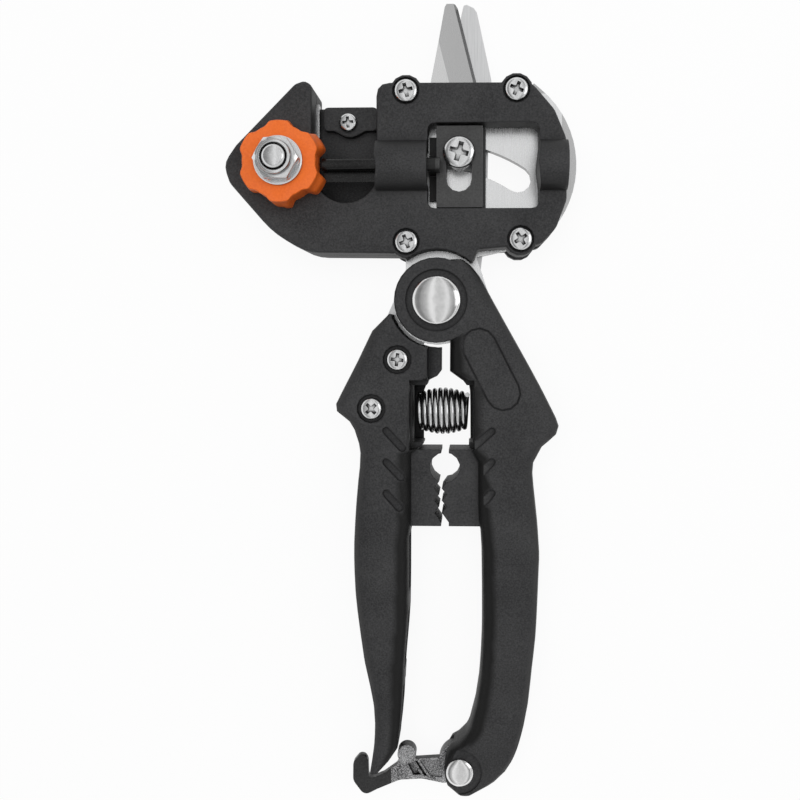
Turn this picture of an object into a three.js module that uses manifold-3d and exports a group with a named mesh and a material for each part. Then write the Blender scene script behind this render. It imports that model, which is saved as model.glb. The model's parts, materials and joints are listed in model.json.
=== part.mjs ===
// Grafting tool: a pruner with two short blades and a grafting punch, lying flat on its back.
// Millimetres, +Z up towards the front. The origin is the main pivot's axis on the resting plane,
// +Y runs from the handles to the pruning blades, and -X runs to the grafting anvil.
import * as THREE from 'three';
import { mergeVertices } from 'three/addons/utils/BufferGeometryUtils.js';
import Module from 'manifold-3d';

const wasm = await Module();
wasm.setup();

// General sizes
const CLEARANCE = 0.3; // between pieces that touch or slide
const OVERRUN = 2; // how far a cut runs past the surface it opens
const ROUND_STEPS = 32; // sides of a large round
const SMALL_STEPS = 14; // sides of a screw or a small hole
const CORNER_STEPS = 3; // straight steps in a rounded corner
const EDGE_STEPS = 2; // steps in the rounded edge of a moulding

// The layers, from the resting plane up
const BACK_PLATE_THICK = 4; // back cover under the plates
const PLATE_THICK = 3; // both steel plates
const COVER_THICK = 7.1; // front cover
const HANDLE_THICK = 18.5;
const LEVER_LOW = BACK_PLATE_THICK + CLEARANCE;
const LEVER_HIGH = LEVER_LOW + PLATE_THICK;
const HEAD_LOW = LEVER_HIGH + CLEARANCE;
const HEAD_HIGH = HEAD_LOW + PLATE_THICK;
const COVER_LOW = HEAD_HIGH + CLEARANCE;
const COVER_HIGH = COVER_LOW + COVER_THICK;

// The head's outlines are shared out of this height, where the blades' roots are held
const BLADE_ROOT = 50;
const BLADE_BEVEL = { wide: 0.9, deep: 1.8 }; // corner taken off the left blade
const COVER_EDGE = 0.8; // rounded edge of the covers
const EAR_RADIUS = 4.3; // round ear at each cover screw
const WELL = { x: -23.7, y: 33.7, radius: 8.5, floor: 7 };
const GAP_TOP = 52.1; // top of the floor of the grafting gap
const GAP_LEFT = -32.55;
const GAP_RIGHT = -15.7;
const THICK_RIGHT = -10; // the back cover is thick to the left of this line
const DRIVE = { reach: 38.8, restDegrees: 8.6, radius: 2.7, head: 4.3, headThick: 2.2 };
const OVER_DRIVE = { window: 7.15, block: 6.6, slot: 3.1 }; // how far these go past the drive screw's reach
const WINDOW = {
  left: -2.4, right: 26.7, low: 23.8, high: DRIVE.reach + OVER_DRIVE.window, corner: 2.2, pinch: 0.7,
};

// Pivot
const DISC_RADIUS = 11.7; // round of the head plate at the pivot
const LEVER_DISC_RADIUS = 11.5;
const HUB_RADIUS = 11.1;
const HUB_HIGH = HANDLE_THICK;
const HUB_RECESS = { radius: 8.1, depth: 1 };
const HUB_RELIEF = 12.5; // what the left handle and the back of the right one stay outside of
const COVER_RELIEF = 13.4; // hollow in the covers' lower edge round the hub
const BOLT = { radius: 3.9, head: 6.3, dome: 2.6, rim: 1.1 };
const NUT_WIDE = 13; // across the flats of the pivot nut
const NUT_THICK = 3;
const WASHER_THICK = 0.7;
const PIVOT_WASHER_RADIUS = 7.4;

// Grafting drive
const ARC_SLOT = { width: 7, endDegrees: 33.5, startDegrees: 4 };
const BACK_SLOT_WIDTH = 10;
const BLOCK = {
  left: -0.1, right: 12, low: 24.2, high: DRIVE.reach + OVER_DRIVE.block, thick: 5.6, headRoom: 1,
};
const FOOT = { right: 0.8, thick: 1.5 }; // the block's foot, which lies on the head plate
const BLOCK_SLOT = { width: 6.65, low: 28.3, high: DRIVE.reach + OVER_DRIVE.slot };
const LUG = { left: -4.2, half: 1.7 };
const PUNCH_Y = 34.8; // the line of the punch, the rod and the anvil's axis
const PUNCH_Z = 20;
const ROD = { radius: 1.6, length: 8.5 };
const LOOP_RADIUS = 1.6; // outside of the blade's round loop
const LOOP_NECK_SHARE = 0.7; // half the neck under the loop, of the loop's radius
const STRIP_THICK = 0.5; // steel of the grafting blade
const WING_REACH = { upper: 1.9, lower: 4.2 }; // the wings' ends, from the punch line
const TIP_GAP = 0.8; // between the blade and the bottom of the anvil notch
const WING_DROP = 2.2; // the wings lie this far under the loop's middle
const BULGE_RADIUS = 6.45;
const TUNNEL = { half: 4.7, high: 19, round: 2.3 };

// Anvil
const ANVIL = { x: -39.6, root: 9.4, lobe: 2.5, frontLobe: 0.9, thick: 7.7, lobes: 6, shoulderShare: 0.6 };
const ANVIL_BOLT = { radius: 3, head: 5.4, headThick: 2.7, stick: 0.9 };
const ANVIL_WASHER = { radius: 6.2, thick: 1 };
const ANVIL_NUT = { wide: 10, thick: 3.2, collar: 4.05, collarThick: 1.5 };
const STIFFENER = { left: -46, low: 22, high: 52.5, thick: 4, bevel: 8.5 };

// Stop plate in the grafting gap
const STOP = {
  left: -30.6, right: -16.2, high: 51.9, low: 45.7, tongueX: -23.6, half: 4.2, drop: 2.3, thick: 2.5,
};
const STOP_SEAT = WELL.floor + CLEARANCE;
const STOP_SCREW = { x: -24, y: 47.7, head: 2.5, headThick: 1.3, shank: 1.3, length: 6 };

// Screws
const COVER_SCREW = { head: 3.1, headThick: 1.7, shank: 1.5, sink: 1.1, ring: 0.45 };
const BACK_SCREW = { head: 3, headThick: 2, shank: 1.5, sink: 2.4 };
const HANDLE_SCREW = { head: 2.9, headThick: 1.9, shank: 1.6, sink: 1.3, ring: 0.9 };
const CROSS_WIDE_SHARE = 0.28; // width of the cross recess, of the head's radius
const CROSS_LONG_SHARE = 1.25; // length of the cross recess, of the head's radius
const CROSS_DEEP_SHARE = 0.5; // depth of the cross recess, of the head's thickness
const BOSS_RADIUS = 3.3; // boss round the far back screw

// Handles, shared out of the drop from the spring's axis to the grips' ends
const GRIP_LENGTH = 100;
const GRIP_EDGE = 4.2; // rounded edge of the handles
const GRIP_ROUND_SHARE = 0.42; // most of a section's side that its rounded edge takes
const GRIP_FACES = { drawIn: 2.6, fromShare: 0.5, toShare: 1.316 }; // the faces draw in towards the ends
const STATION_STEP = 6;
const JAW = { low: 3, high: 15, hole: 4, holeX: 2.15, holeY: -44.1, top: -39.4, bottom: -59.7 };
const JAW_TEETH = {
  leftX: 1.15, rightX: 3.2, deep: 1.85, shallow: 0.5, pitch: 3.2, first: -49.7, ease: 2.6, count: 3,
};
const CHAMBER = { left: -6.5, right: 9.5, low: -37.6, high: -22.4, wall: 2.2 };
const CHAMBER_MOUTH = { left: -7.1, right: 9.9, low: -39.3, high: -20.9, floor: 13 }; // open to the front
const SHELF = { left: -2.4, low: -20.9, floor: 12 }; // lower step beside the throat
const POCKET = { low: 5, high: 13.5, deep: 3.4 };
const GROOVE_RADIUS = 1;
const GROOVE_DEEP = 0.8;
const OVAL = { radius: 4.66, line: 0.45, deep: 0.35 };

// Return spring
const SPRING = { y: -30.2, z: 9.25, left: -6.2, curls: 8, pitch: 1.65, wire: 1.1, ends: 4.5, middle: 5.9 };
const CURL_STEPS = 8;
const WIRE_SIDES = 5;

// Latch
const LATCH_SHARES = {
  x: 0.062, y: -1.253, knobX: -0.083, knobY: -1.23, hookX: -0.188, hookY: -1.236, lip: -1.2445,
};
const LATCH = {
  x: LATCH_SHARES.x * GRIP_LENGTH, y: LATCH_SHARES.y * GRIP_LENGTH,
  low: 6.5, high: 10.5, boss: 5.7, bore: 2.3,
};
const LATCH_RISE = 2.9; // the latch's slot reaches this far above the rivet's axis on the left
const RIVET = { radius: 2, head: 3.7, headThick: 1.2 };
const SPOT_FACE = { radius: 5.9, deep: 0.5 }; // flat seat of the rivet's head
const KNOB = {
  x: LATCH_SHARES.knobX * GRIP_LENGTH, y: LATCH_SHARES.knobY * GRIP_LENGTH, radius: 2.5, stick: 2,
};
const HOOK = { inner: LATCH_SHARES.hookX * GRIP_LENGTH, top: LATCH_SHARES.hookY * GRIP_LENGTH, wide: 4 };
const LIP = { end: LATCH_SHARES.lip * GRIP_LENGTH, gap: 0.9 }; // the left handle's end at the latch's level

// Solids and their shapes

function solidOf(geometry) {
  geometry.deleteAttribute('normal');
  geometry.deleteAttribute('uv');
  const merged = mergeVertices(geometry);
  const vertProperties = new Float32Array(merged.attributes.position.array);
  const triVerts = new Uint32Array(merged.index.array);
  return new wasm.Manifold(new wasm.Mesh({ numProp: 3, vertProperties, triVerts }));
}

function geometryOf(solid) {
  const mesh = solid.getMesh();
  const geometry = new THREE.BufferGeometry();
  geometry.setAttribute('position', new THREE.BufferAttribute(new Float32Array(mesh.vertProperties), 3));
  geometry.setIndex(new THREE.BufferAttribute(new Uint32Array(mesh.triVerts), 1));
  geometry.computeVertexNormals();
  return geometry;
}

function join(...solids) {
  return solids.reduce((whole, next) => whole.add(next));
}

function cut(solid, ...tools) {
  return tools.reduce((whole, tool) => whole.subtract(tool), solid);
}

function point(x, y) {
  return new THREE.Vector2(x, y);
}

function shared(shares, size) {
  return shares.map(([x, y]) => point(x * size, y * size));
}

// A closed outline with its corners rounded: each corner is [x share, y share, radius share]
function roundedShares(shares, size) {
  const corners = shares.map(([x, y, r = 0]) => ({ at: point(x * size, y * size), radius: r * size }));
  return roundCorners(corners);
}

function roundCorners(corners) {
  const outline = [];
  corners.forEach(({ at, radius }, i) => {
    const before = corners[(i + corners.length - 1) % corners.length].at;
    const after = corners[(i + 1) % corners.length].at;
    if (radius === 0) {
      outline.push(at.clone());
      return;
    }
    const back = before.clone().sub(at);
    const forth = after.clone().sub(at);
    const half = Math.acos(back.dot(forth) / back.length() / forth.length()) / 2;
    const limitShare = 0.48;
    const reach = Math.min(radius / Math.tan(half), back.length() * limitShare, forth.length() * limitShare);
    const start = at.clone().add(back.setLength(reach));
    const end = at.clone().add(forth.setLength(reach));
    const arc = new THREE.QuadraticBezierCurve(start, at, end);
    outline.push(...arc.getPoints(CORNER_STEPS));
  });
  return outline;
}

function box2(left, right, low, high, radius = 0) {
  const corners = [[left, low], [right, low], [right, high], [left, high]];
  return roundCorners(corners.map(([x, y]) => ({ at: point(x, y), radius })));
}

// An outline moved outwards by a distance
function grown(outline, distance) {
  const out = THREE.ShapeUtils.area(outline) > 0 ? 1 : -1;
  return outline.map((at, i) => {
    const before = outline[(i + outline.length - 1) % outline.length];
    const after = outline[(i + 1) % outline.length];
    const one = at.clone().sub(before).normalize();
    const two = after.clone().sub(at).normalize();
    const normal = point(one.y + two.y, -one.x - two.x).normalize();
    const leastStretch = 0.3;
    const stretch = Math.max(normal.x * one.y - normal.y * one.x, leastStretch);
    return at.clone().add(normal.multiplyScalar((out * distance) / stretch));
  });
}

function prism(outline, low, high, edge = 0) {
  const geometry = new THREE.ExtrudeGeometry(new THREE.Shape(outline), {
    depth: high - low - 2 * edge,
    bevelEnabled: edge > 0,
    bevelThickness: edge,
    bevelSize: edge,
    bevelOffset: -edge,
    bevelSegments: EDGE_STEPS,
  });
  geometry.translate(0, 0, low + edge);
  return solidOf(geometry);
}

function box(left, right, front, back, low, high) {
  const geometry = new THREE.BoxGeometry(right - left, back - front, high - low);
  geometry.translate((left + right) / 2, (front + back) / 2, (low + high) / 2);
  return solidOf(geometry);
}

function disc(x, y, radius, low, high, steps = ROUND_STEPS) {
  const geometry = new THREE.CylinderGeometry(radius, radius, high - low, steps);
  geometry.rotateX(Math.PI / 2);
  geometry.translate(x, y, (low + high) / 2);
  return solidOf(geometry);
}

function barAlongX(y, z, radius, left, right, steps = ROUND_STEPS) {
  const geometry = new THREE.CylinderGeometry(radius, radius, right - left, steps);
  geometry.rotateZ(Math.PI / 2);
  geometry.translate((left + right) / 2, y, z);
  return solidOf(geometry);
}

function circle(x, y, radius, steps = SMALL_STEPS) {
  return new THREE.EllipseCurve(x, y, radius, radius).getPoints(steps).slice(0, -1);
}

// The outline of a straight slot with round ends
function capsule(start, end, radius) {
  const along = Math.atan2(end.y - start.y, end.x - start.x);
  const turn = Math.PI / 2;
  const far = new THREE.EllipseCurve(end.x, end.y, radius, radius, along - turn, along + turn);
  const near = new THREE.EllipseCurve(start.x, start.y, radius, radius, along + turn, along + 3 * turn);
  return [...far.getPoints(2 * CORNER_STEPS), ...near.getPoints(2 * CORNER_STEPS)];
}

// A point on a round about the pivot, by its angle to the right of straight up
function swung(reach, degrees) {
  const angle = THREE.MathUtils.degToRad(degrees);
  return point(reach * Math.sin(angle), reach * Math.cos(angle));
}

// The outline of a slot that runs round the pivot, with round ends
function arcSlot(reach, width, startDegrees, endDegrees) {
  const steps = 3 * CORNER_STEPS;
  const outline = [];
  for (let i = 0; i <= steps; i++) {
    outline.push(swung(reach + width / 2, startDegrees + ((endDegrees - startDegrees) * i) / steps));
  }
  const end = swung(reach, endDegrees);
  const endAngle = Math.PI / 2 - THREE.MathUtils.degToRad(endDegrees);
  const cap = new THREE.EllipseCurve(end.x, end.y, width / 2, width / 2, endAngle, endAngle - Math.PI, true);
  outline.push(...cap.getPoints(2 * CORNER_STEPS).slice(1, -1));
  for (let i = steps; i >= 0; i--) {
    outline.push(swung(reach - width / 2, startDegrees + ((endDegrees - startDegrees) * i) / steps));
  }
  return outline;
}

// The outline of a thin strip that follows a bent line
function stripAlong(line, thick) {
  const sides = [1, -1].map((side) => line.map((at, i) => {
    const before = line[Math.max(i - 1, 0)];
    const after = line[Math.min(i + 1, line.length - 1)];
    const along = after.clone().sub(before).normalize();
    return at.clone().add(point(-along.y, along.x).multiplyScalar((side * thick) / 2));
  }));
  return [...sides[0], ...sides[1].reverse()];
}

// Triangles over a stack of rings with as many points each, closed by a point in the middle of each end
function closedStack(rings) {
  const count = rings[0].length;
  const positions = [];
  const index = [];
  rings.forEach((ring) => ring.forEach((at) => positions.push(at.x, at.y, at.z)));
  for (let i = 0; i + 1 < rings.length; i++) {
    for (let j = 0; j < count; j++) {
      const a = i * count + j;
      const b = i * count + ((j + 1) % count);
      index.push(a, b, a + count);
      index.push(b, b + count, a + count);
    }
  }
  [0, rings.length - 1].forEach((i) => {
    const middle = rings[i].reduce((sum, at) => sum.add(at), new THREE.Vector3()).divideScalar(count);
    const tip = positions.length / 3;
    positions.push(middle.x, middle.y, middle.z);
    for (let j = 0; j < count; j++) {
      const a = i * count + j;
      const b = i * count + ((j + 1) % count);
      index.push(...(i === 0 ? [b, a, tip] : [a, b, tip]));
    }
  });
  const geometry = new THREE.BufferGeometry();
  geometry.setAttribute('position', new THREE.BufferAttribute(new Float32Array(positions), 3));
  geometry.setIndex(index);
  return geometry;
}

// Materials

function material(color, roughness, metalness) {
  return new THREE.MeshStandardMaterial({ color, roughness, metalness });
}

const blackPlastic = () => material('#38383a', 0.55, 0);
const brushedSteel = () => material('#b9babb', 0.35, 1);
const darkSteel = () => material('#3c3d3f', 0.4, 0.9);
const zinc = () => material('#c9cbcd', 0.28, 1);
const chrome = () => material('#dcdddf', 0.12, 1);
const orangeNylon = () => material('#f27035', 0.5, 0);
const gunmetal = () => material('#4a4b4d', 0.45, 0.8);

const tool = new THREE.Group();
const head = new THREE.Group();
const lever = new THREE.Group();
const slide = new THREE.Group();
const latch = new THREE.Group();
tool.add(head, lever, slide, latch);

function place(group, name, shape, surface, x = 0, y = 0, z = 0) {
  const geometry = shape.isBufferGeometry ? shape : geometryOf(shape);
  const mesh = new THREE.Mesh(geometry, surface);
  mesh.name = name;
  mesh.position.set(x, y, z);
  group.add(mesh);
  return mesh;
}

// Places that several pieces share

const coverScrewShares = [[-0.16, 1.083], [0.413, 1.088], [-0.158, 0.304], [0.436, 0.317]];
const backScrewShares = [[-0.24, 0.94], [-0.24, 0.41], [0.54, 0.41]];
const leftScrewShares = [[-0.102, -0.155], [-0.17, -0.283]];
const rightScrewShares = [[0.125, -0.14], [0.193, -0.27]];
const coverScrewPlaces = shared(coverScrewShares, BLADE_ROOT);
const backScrewPlaces = shared(backScrewShares, BLADE_ROOT);
const leftScrewPlaces = shared(leftScrewShares, GRIP_LENGTH);
const rightScrewPlaces = shared(rightScrewShares, GRIP_LENGTH);
const drivePin = swung(DRIVE.reach, DRIVE.restDegrees);

// Outlines of the head, as shares of the blade root's height

const coverOutlineShares = [
  [-0.314, 0.64], [-0.314, 1.128, 0.07], [0.49, 1.125, 0.08], [0.61, 0.984, 0.12],
  [0.67, 0.84, 0.1], [0.674, 0.52, 0.1], [0.62, 0.374, 0.1], [0.542, 0.29, 0.06], [0.215, 0.263, 0.02],
  [0.189, 0.2, 0.02], [-0.132, 0.194, 0.03], [-0.2, 0.244, 0.03], [-0.68, 0.248, 0.25], [-0.858, 0.354, 0.5],
  [-1.084, 0.612, 0.1], [-1.118, 0.712, 0.16], [-1.05, 0.81, 0.08], [-0.74, 1.124, 0.05],
  [-0.69, 1.142, 0.04],
  [-0.651, 1.118, 0.03], [-0.651, 0.64],
];
const headBodyShares = [
  [0.48, 0.27], [-0.29, 0.27], [-0.29, 1.08], [0.4, 1.08], [0.512, 1.154],
];
const HEAD_ARC = { x: 10.58, y: 35.93, radius: 26.3, startDegrees: 55.7, endDegrees: -38.5 };
const headNeckShares = [[-0.17, 0], [-0.17, 0.3], [0.5, 0.3], [0.208, 0.234], [0.276, 0.033], [0.2, -0.08]];
const BEVEL_START = 6; // the point of the next outline that the bevel starts from
const headBladeShares = [
  [-0.05, 1], [-0.036, 1.171], [0.003, 1.373], [0.037, 1.561], [0.047, 1.577], [0.094, 1.577], [0.106, 1.563],
  [0.205, 1.171], [0.218, 1],
];
const headArmShares = [
  [-0.28, 0.276], [-0.67, 0.276], [-0.83, 0.39], [-1.03, 0.62], [-1.06, 0.71], [-1, 0.8], [-0.74, 1.05],
  [-0.634, 1.05], [-0.634, 0.45], [-0.28, 0.45],
];
const leverShares = [
  [0.22, 0.06], [0.244, 0.28], [0.266, 0.6], [0.272, 0.9], [0.287, 1.189], [0.208, 1.552], [0.19, 1.576],
  [0.152, 1.594], [0.137, 1.589], [0.126, 1.542], [0.06, 1.2], [0.02, 1], [-0.02, 0.88], [-0.03, 0.64],
  [-0.12, 0.28], [-0.19, 0.08],
];

// Outlines of the handles, as shares of the grips' length, from the top down: [x, y]
const leftOuterShares = [
  [-0.125, -0.036], [-0.142, -0.041], [-0.154, -0.047], [-0.21, -0.16], [-0.268, -0.274], [-0.269, -0.282],
  [-0.266, -0.2925], [-0.254, -0.301], [-0.233, -0.319], [-0.217, -0.347], [-0.207, -0.38], [-0.203, -0.412],
  [-0.205, -0.441], [-0.209, -0.477], [-0.2145, -0.539], [-0.22, -0.631], [-0.221, -0.686],
  [-0.217, -0.788], [-0.207, -0.878], [-0.193, -0.978], [-0.179, -1.039], [-0.169, -1.091], [-0.166, -1.135],
  [-0.168, -1.187], [-0.173, -1.23], [-0.178, -1.262],
];
const leftInnerShares = [
  [-0.1, -0.03], [0.011, -0.08], [0.0105, -0.186], [0, -0.2], [-0.023, -0.211], [-0.034, -0.225],
  [-0.036, -0.245], [-0.036, -0.385], [-0.066, -0.39],
  [-0.066, -0.585], [-0.074, -0.63], [-0.074, -0.73], [-0.075, -0.83], [-0.085, -0.973], [-0.091, -1.078],
  [-0.1, -1.165], [-0.109, -1.21], [-0.137, -1.24], [-0.158, -1.262],
];
const rightOuterShares = [
  [0.068, 0.106], [0.091, 0.089], [0.112, 0.063], [0.143, 0.0075], [0.184, -0.066], [0.258, -0.199],
  [0.305, -0.29], [0.3215, -0.33], [0.315, -0.352], [0.293, -0.372], [0.268, -0.395], [0.255, -0.428],
  [0.253, -0.454], [0.259, -0.517], [0.266, -0.583], [0.272, -0.668], [0.271, -0.709], [0.264, -0.886],
  [0.254, -0.987], [0.2445, -1.08], [0.23, -1.155], [0.212, -1.214], [0.183, -1.262], [0.141, -1.297],
  [0.094, -1.316],
];
const rightInnerShares = [
  [0.036, 0.106], [0.0345, -0.186], [0.045, -0.2], [0.069, -0.211], [0.08, -0.225], [0.0835, -0.245],
  [0.085, -0.385], [0.108, -0.39], [0.11, -0.58],
  [0.117, -0.612], [0.12, -0.686], [0.1215, -0.866], [0.119, -0.946], [0.113, -1.027], [0.103, -1.087],
  [0.089, -1.139], [0.075, -1.167], [0.055, -1.187], [0.034, -1.2], [0.024, -1.23], [0.022, -1.285],
  [0.03, -1.303], [0.058, -1.316],
];
const headTangShares = [
  [0.04, -0.06], [0.1275, 0.01], [0.225, -0.22], [0.235, -0.36], [0.135, -0.36], [0.11, -0.2],
];
const leverTangShares = [
  [-0.114, 0.015], [-0.23, -0.25], [-0.22, -0.34], [-0.13, -0.34], [-0.08, -0.18], [-0.03, -0.1],
];
const leftGrooveShares = [
  [-0.131, -0.341, -0.089, -0.386], [-0.131, -0.423, -0.093, -0.463], [-0.131, -0.505, -0.097, -0.543],
];
const rightGrooveShares = [
  [0.145, -0.341, 0.102, -0.379], [0.145, -0.421, 0.121, -0.448], [0.145, -0.503, 0.127, -0.525],
];
const ovalShares = [[0.1106, -0.118], [0.174, -0.242]];
const pocketShares = [[-0.625, -0.784], [-0.83, -0.986], [-1.032, -1.175]];

const coverOutline = roundedShares(coverOutlineShares, BLADE_ROOT);
const headTang = shared(headTangShares, GRIP_LENGTH);
const headArm = shared(headArmShares, BLADE_ROOT);
const leverTang = shared(leverTangShares, GRIP_LENGTH);

function headBodyOutline() {
  const from = THREE.MathUtils.degToRad(HEAD_ARC.startDegrees);
  const to = THREE.MathUtils.degToRad(HEAD_ARC.endDegrees);
  const { x, y, radius } = HEAD_ARC;
  const arc = new THREE.EllipseCurve(x, y, radius, radius, from, to, true);
  return [...shared(headBodyShares, BLADE_ROOT), ...arc.getPoints(ROUND_STEPS / 2).slice(1)];
}

// Screws: the head sits on z = 0 and the shank hangs below it

function screwSolid({ head: headRadius, headThick, shank, length }) {
  const rimShare = 0.35;
  const shoulderShare = 0.78;
  const profile = [
    point(0, -length), point(shank, -length), point(shank, 0), point(headRadius, 0),
    point(headRadius, headThick * rimShare), point(headRadius * shoulderShare, headThick * shoulderShare),
    point(0, headThick),
  ];
  const turned = new THREE.LatheGeometry(profile, SMALL_STEPS);
  turned.rotateX(Math.PI / 2);
  const wide = headRadius * CROSS_WIDE_SHARE;
  const long = headRadius * CROSS_LONG_SHARE;
  const floor = headThick * (1 - CROSS_DEEP_SHARE);
  const top = headThick + OVERRUN;
  const across = box(-long / 2, long / 2, -wide / 2, wide / 2, floor, top);
  const down = box(-wide / 2, wide / 2, -long / 2, long / 2, floor, top);
  return cut(solidOf(turned), across, down);
}

// Plates

// Takes the corner off a blade along its cutting edge, on the side that faces up or down
function edgeCut(start, end, wide, deep, face) {
  const along = end.clone().sub(start);
  const out = point(along.y, -along.x).normalize();
  const side = Math.sign(deep);
  const section = [
    point(-wide, face), point(OVERRUN, face - (deep * OVERRUN) / wide - deep),
    point(OVERRUN, face + side * OVERRUN), point(-wide, face + side * OVERRUN),
  ];
  const length = along.length();
  along.normalize();
  const rings = [-OVERRUN, length + OVERRUN].map((way) => section.map((at) => new THREE.Vector3(
    start.x + along.x * way + out.x * at.x, start.y + along.y * way + out.y * at.x, at.y,
  )));
  const wedge = solidOf(closedStack(rings));
  return wedge.volume() > 0 ? wedge : solidOf(closedStack(rings.map((ring) => [...ring].reverse())));
}

function headPlate() {
  const slab = (outline) => prism(outline, HEAD_LOW, HEAD_HIGH);
  const whole = join(
    slab(headBodyOutline()), slab(shared(headNeckShares, BLADE_ROOT)),
    slab(shared(headBladeShares, BLADE_ROOT)),
    slab(headTang), slab(headArm), disc(0, 0, DISC_RADIUS, HEAD_LOW, HEAD_HIGH, 2 * SMALL_STEPS),
  );
  const low = HEAD_LOW - OVERRUN;
  const high = HEAD_HIGH + OVERRUN;
  const holes = [...coverScrewPlaces, ...backScrewPlaces].map(({ x, y }) => (
    disc(x, y, COVER_SCREW.shank + CLEARANCE, low, high, SMALL_STEPS)));
  const tangHoles = rightScrewPlaces.map(({ x, y }) => (
    disc(x, y, HANDLE_SCREW.shank + CLEARANCE, low, high, SMALL_STEPS)));
  const slot = arcSlot(DRIVE.reach, ARC_SLOT.width, ARC_SLOT.startDegrees, ARC_SLOT.endDegrees);
  const [tip, root] = shared(headBladeShares, BLADE_ROOT).slice(BEVEL_START, BEVEL_START + 2);
  return cut(
    whole, ...holes, ...tangHoles, prism(slot, low, high),
    disc(0, 0, BOLT.radius + CLEARANCE, low, high, SMALL_STEPS),
    disc(ANVIL.x, PUNCH_Y, ANVIL_BOLT.radius + CLEARANCE, low, high, SMALL_STEPS),
    edgeCut(root, tip, BLADE_BEVEL.wide, BLADE_BEVEL.deep, HEAD_HIGH),
  );
}

function leverPlate() {
  const slab = (outline) => prism(outline, LEVER_LOW, LEVER_HIGH);
  const whole = join(
    slab(shared(leverShares, BLADE_ROOT)), slab(leverTang),
    disc(0, 0, LEVER_DISC_RADIUS, LEVER_LOW, LEVER_HIGH, 2 * SMALL_STEPS),
  );
  const low = LEVER_LOW - OVERRUN;
  const high = LEVER_HIGH + OVERRUN;
  const holes = leftScrewPlaces.map(({ x, y }) => (
    disc(x, y, HANDLE_SCREW.shank + CLEARANCE, low, high, SMALL_STEPS)));
  return cut(
    whole, ...holes, disc(0, 0, BOLT.radius + CLEARANCE, low, high, SMALL_STEPS),
    disc(drivePin.x, drivePin.y, DRIVE.radius + CLEARANCE, low, high, SMALL_STEPS),
  );
}

// Covers

function windowOutline() {
  const middle = (WINDOW.low + WINDOW.high) / 2;
  const quarter = (WINDOW.high - WINDOW.low) / 4;
  const corners = [
    [WINDOW.left, WINDOW.low], [WINDOW.right, WINDOW.low], [WINDOW.right, middle - quarter],
    [WINDOW.right - WINDOW.pinch, middle], [WINDOW.right, middle + quarter],
    [WINDOW.right, WINDOW.high], [WINDOW.left, WINDOW.high],
  ];
  return roundCorners(corners.map(([x, y]) => ({ at: point(x, y), radius: WINDOW.corner })));
}

function frontCover() {
  const under = COVER_LOW - OVERRUN;
  const slab = (outline) => prism(outline, under, COVER_HIGH, COVER_EDGE);
  const ears = coverScrewPlaces.map(({ x, y }) => slab(circle(x, y, EAR_RADIUS)));
  const bulgeEnd = coverOutlineShares[5][0] * BLADE_ROOT;
  const bulge = barAlongX(PUNCH_Y, COVER_HIGH, BULGE_RADIUS, GAP_RIGHT, bulgeEnd);
  const reach = 2 * BLADE_ROOT;
  const base = box(-reach, reach, -reach, reach, under - reach, COVER_LOW);
  const high = COVER_HIGH + BULGE_RADIUS + OVERRUN;
  const holes = coverScrewPlaces.flatMap(({ x, y }) => [
    disc(x, y, COVER_SCREW.shank + CLEARANCE, under, high, SMALL_STEPS),
    disc(x, y, COVER_SCREW.head + COVER_SCREW.ring, COVER_HIGH - COVER_SCREW.sink, high, SMALL_STEPS),
  ]);
  const tunnelLeft = GAP_RIGHT - OVERRUN;
  const tunnelRight = WINDOW.left + OVERRUN;
  return cut(
    join(slab(coverOutline), ...ears, bulge), base, ...holes,
    disc(0, 0, COVER_RELIEF, under, high), disc(WELL.x, WELL.y, WELL.radius, under, high),
    prism(windowOutline(), under, high),
    box(tunnelLeft, tunnelRight, PUNCH_Y - TUNNEL.half, PUNCH_Y + TUNNEL.half, under, TUNNEL.high),
    barAlongX(PUNCH_Y, PUNCH_Z, TUNNEL.round, tunnelLeft, tunnelRight, SMALL_STEPS),
    disc(ANVIL.x, PUNCH_Y, ANVIL_BOLT.radius + CLEARANCE, under, high, SMALL_STEPS),
  );
}

// The steel strip behind the head plate's arm, with its corner off where the arm slopes
function stiffenerOutline(right) {
  const { left, low, high, bevel } = STIFFENER;
  return [
    point(left, low), point(right, low), point(right, high), point(left + bevel, high),
    point(left, high - bevel),
  ];
}

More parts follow.
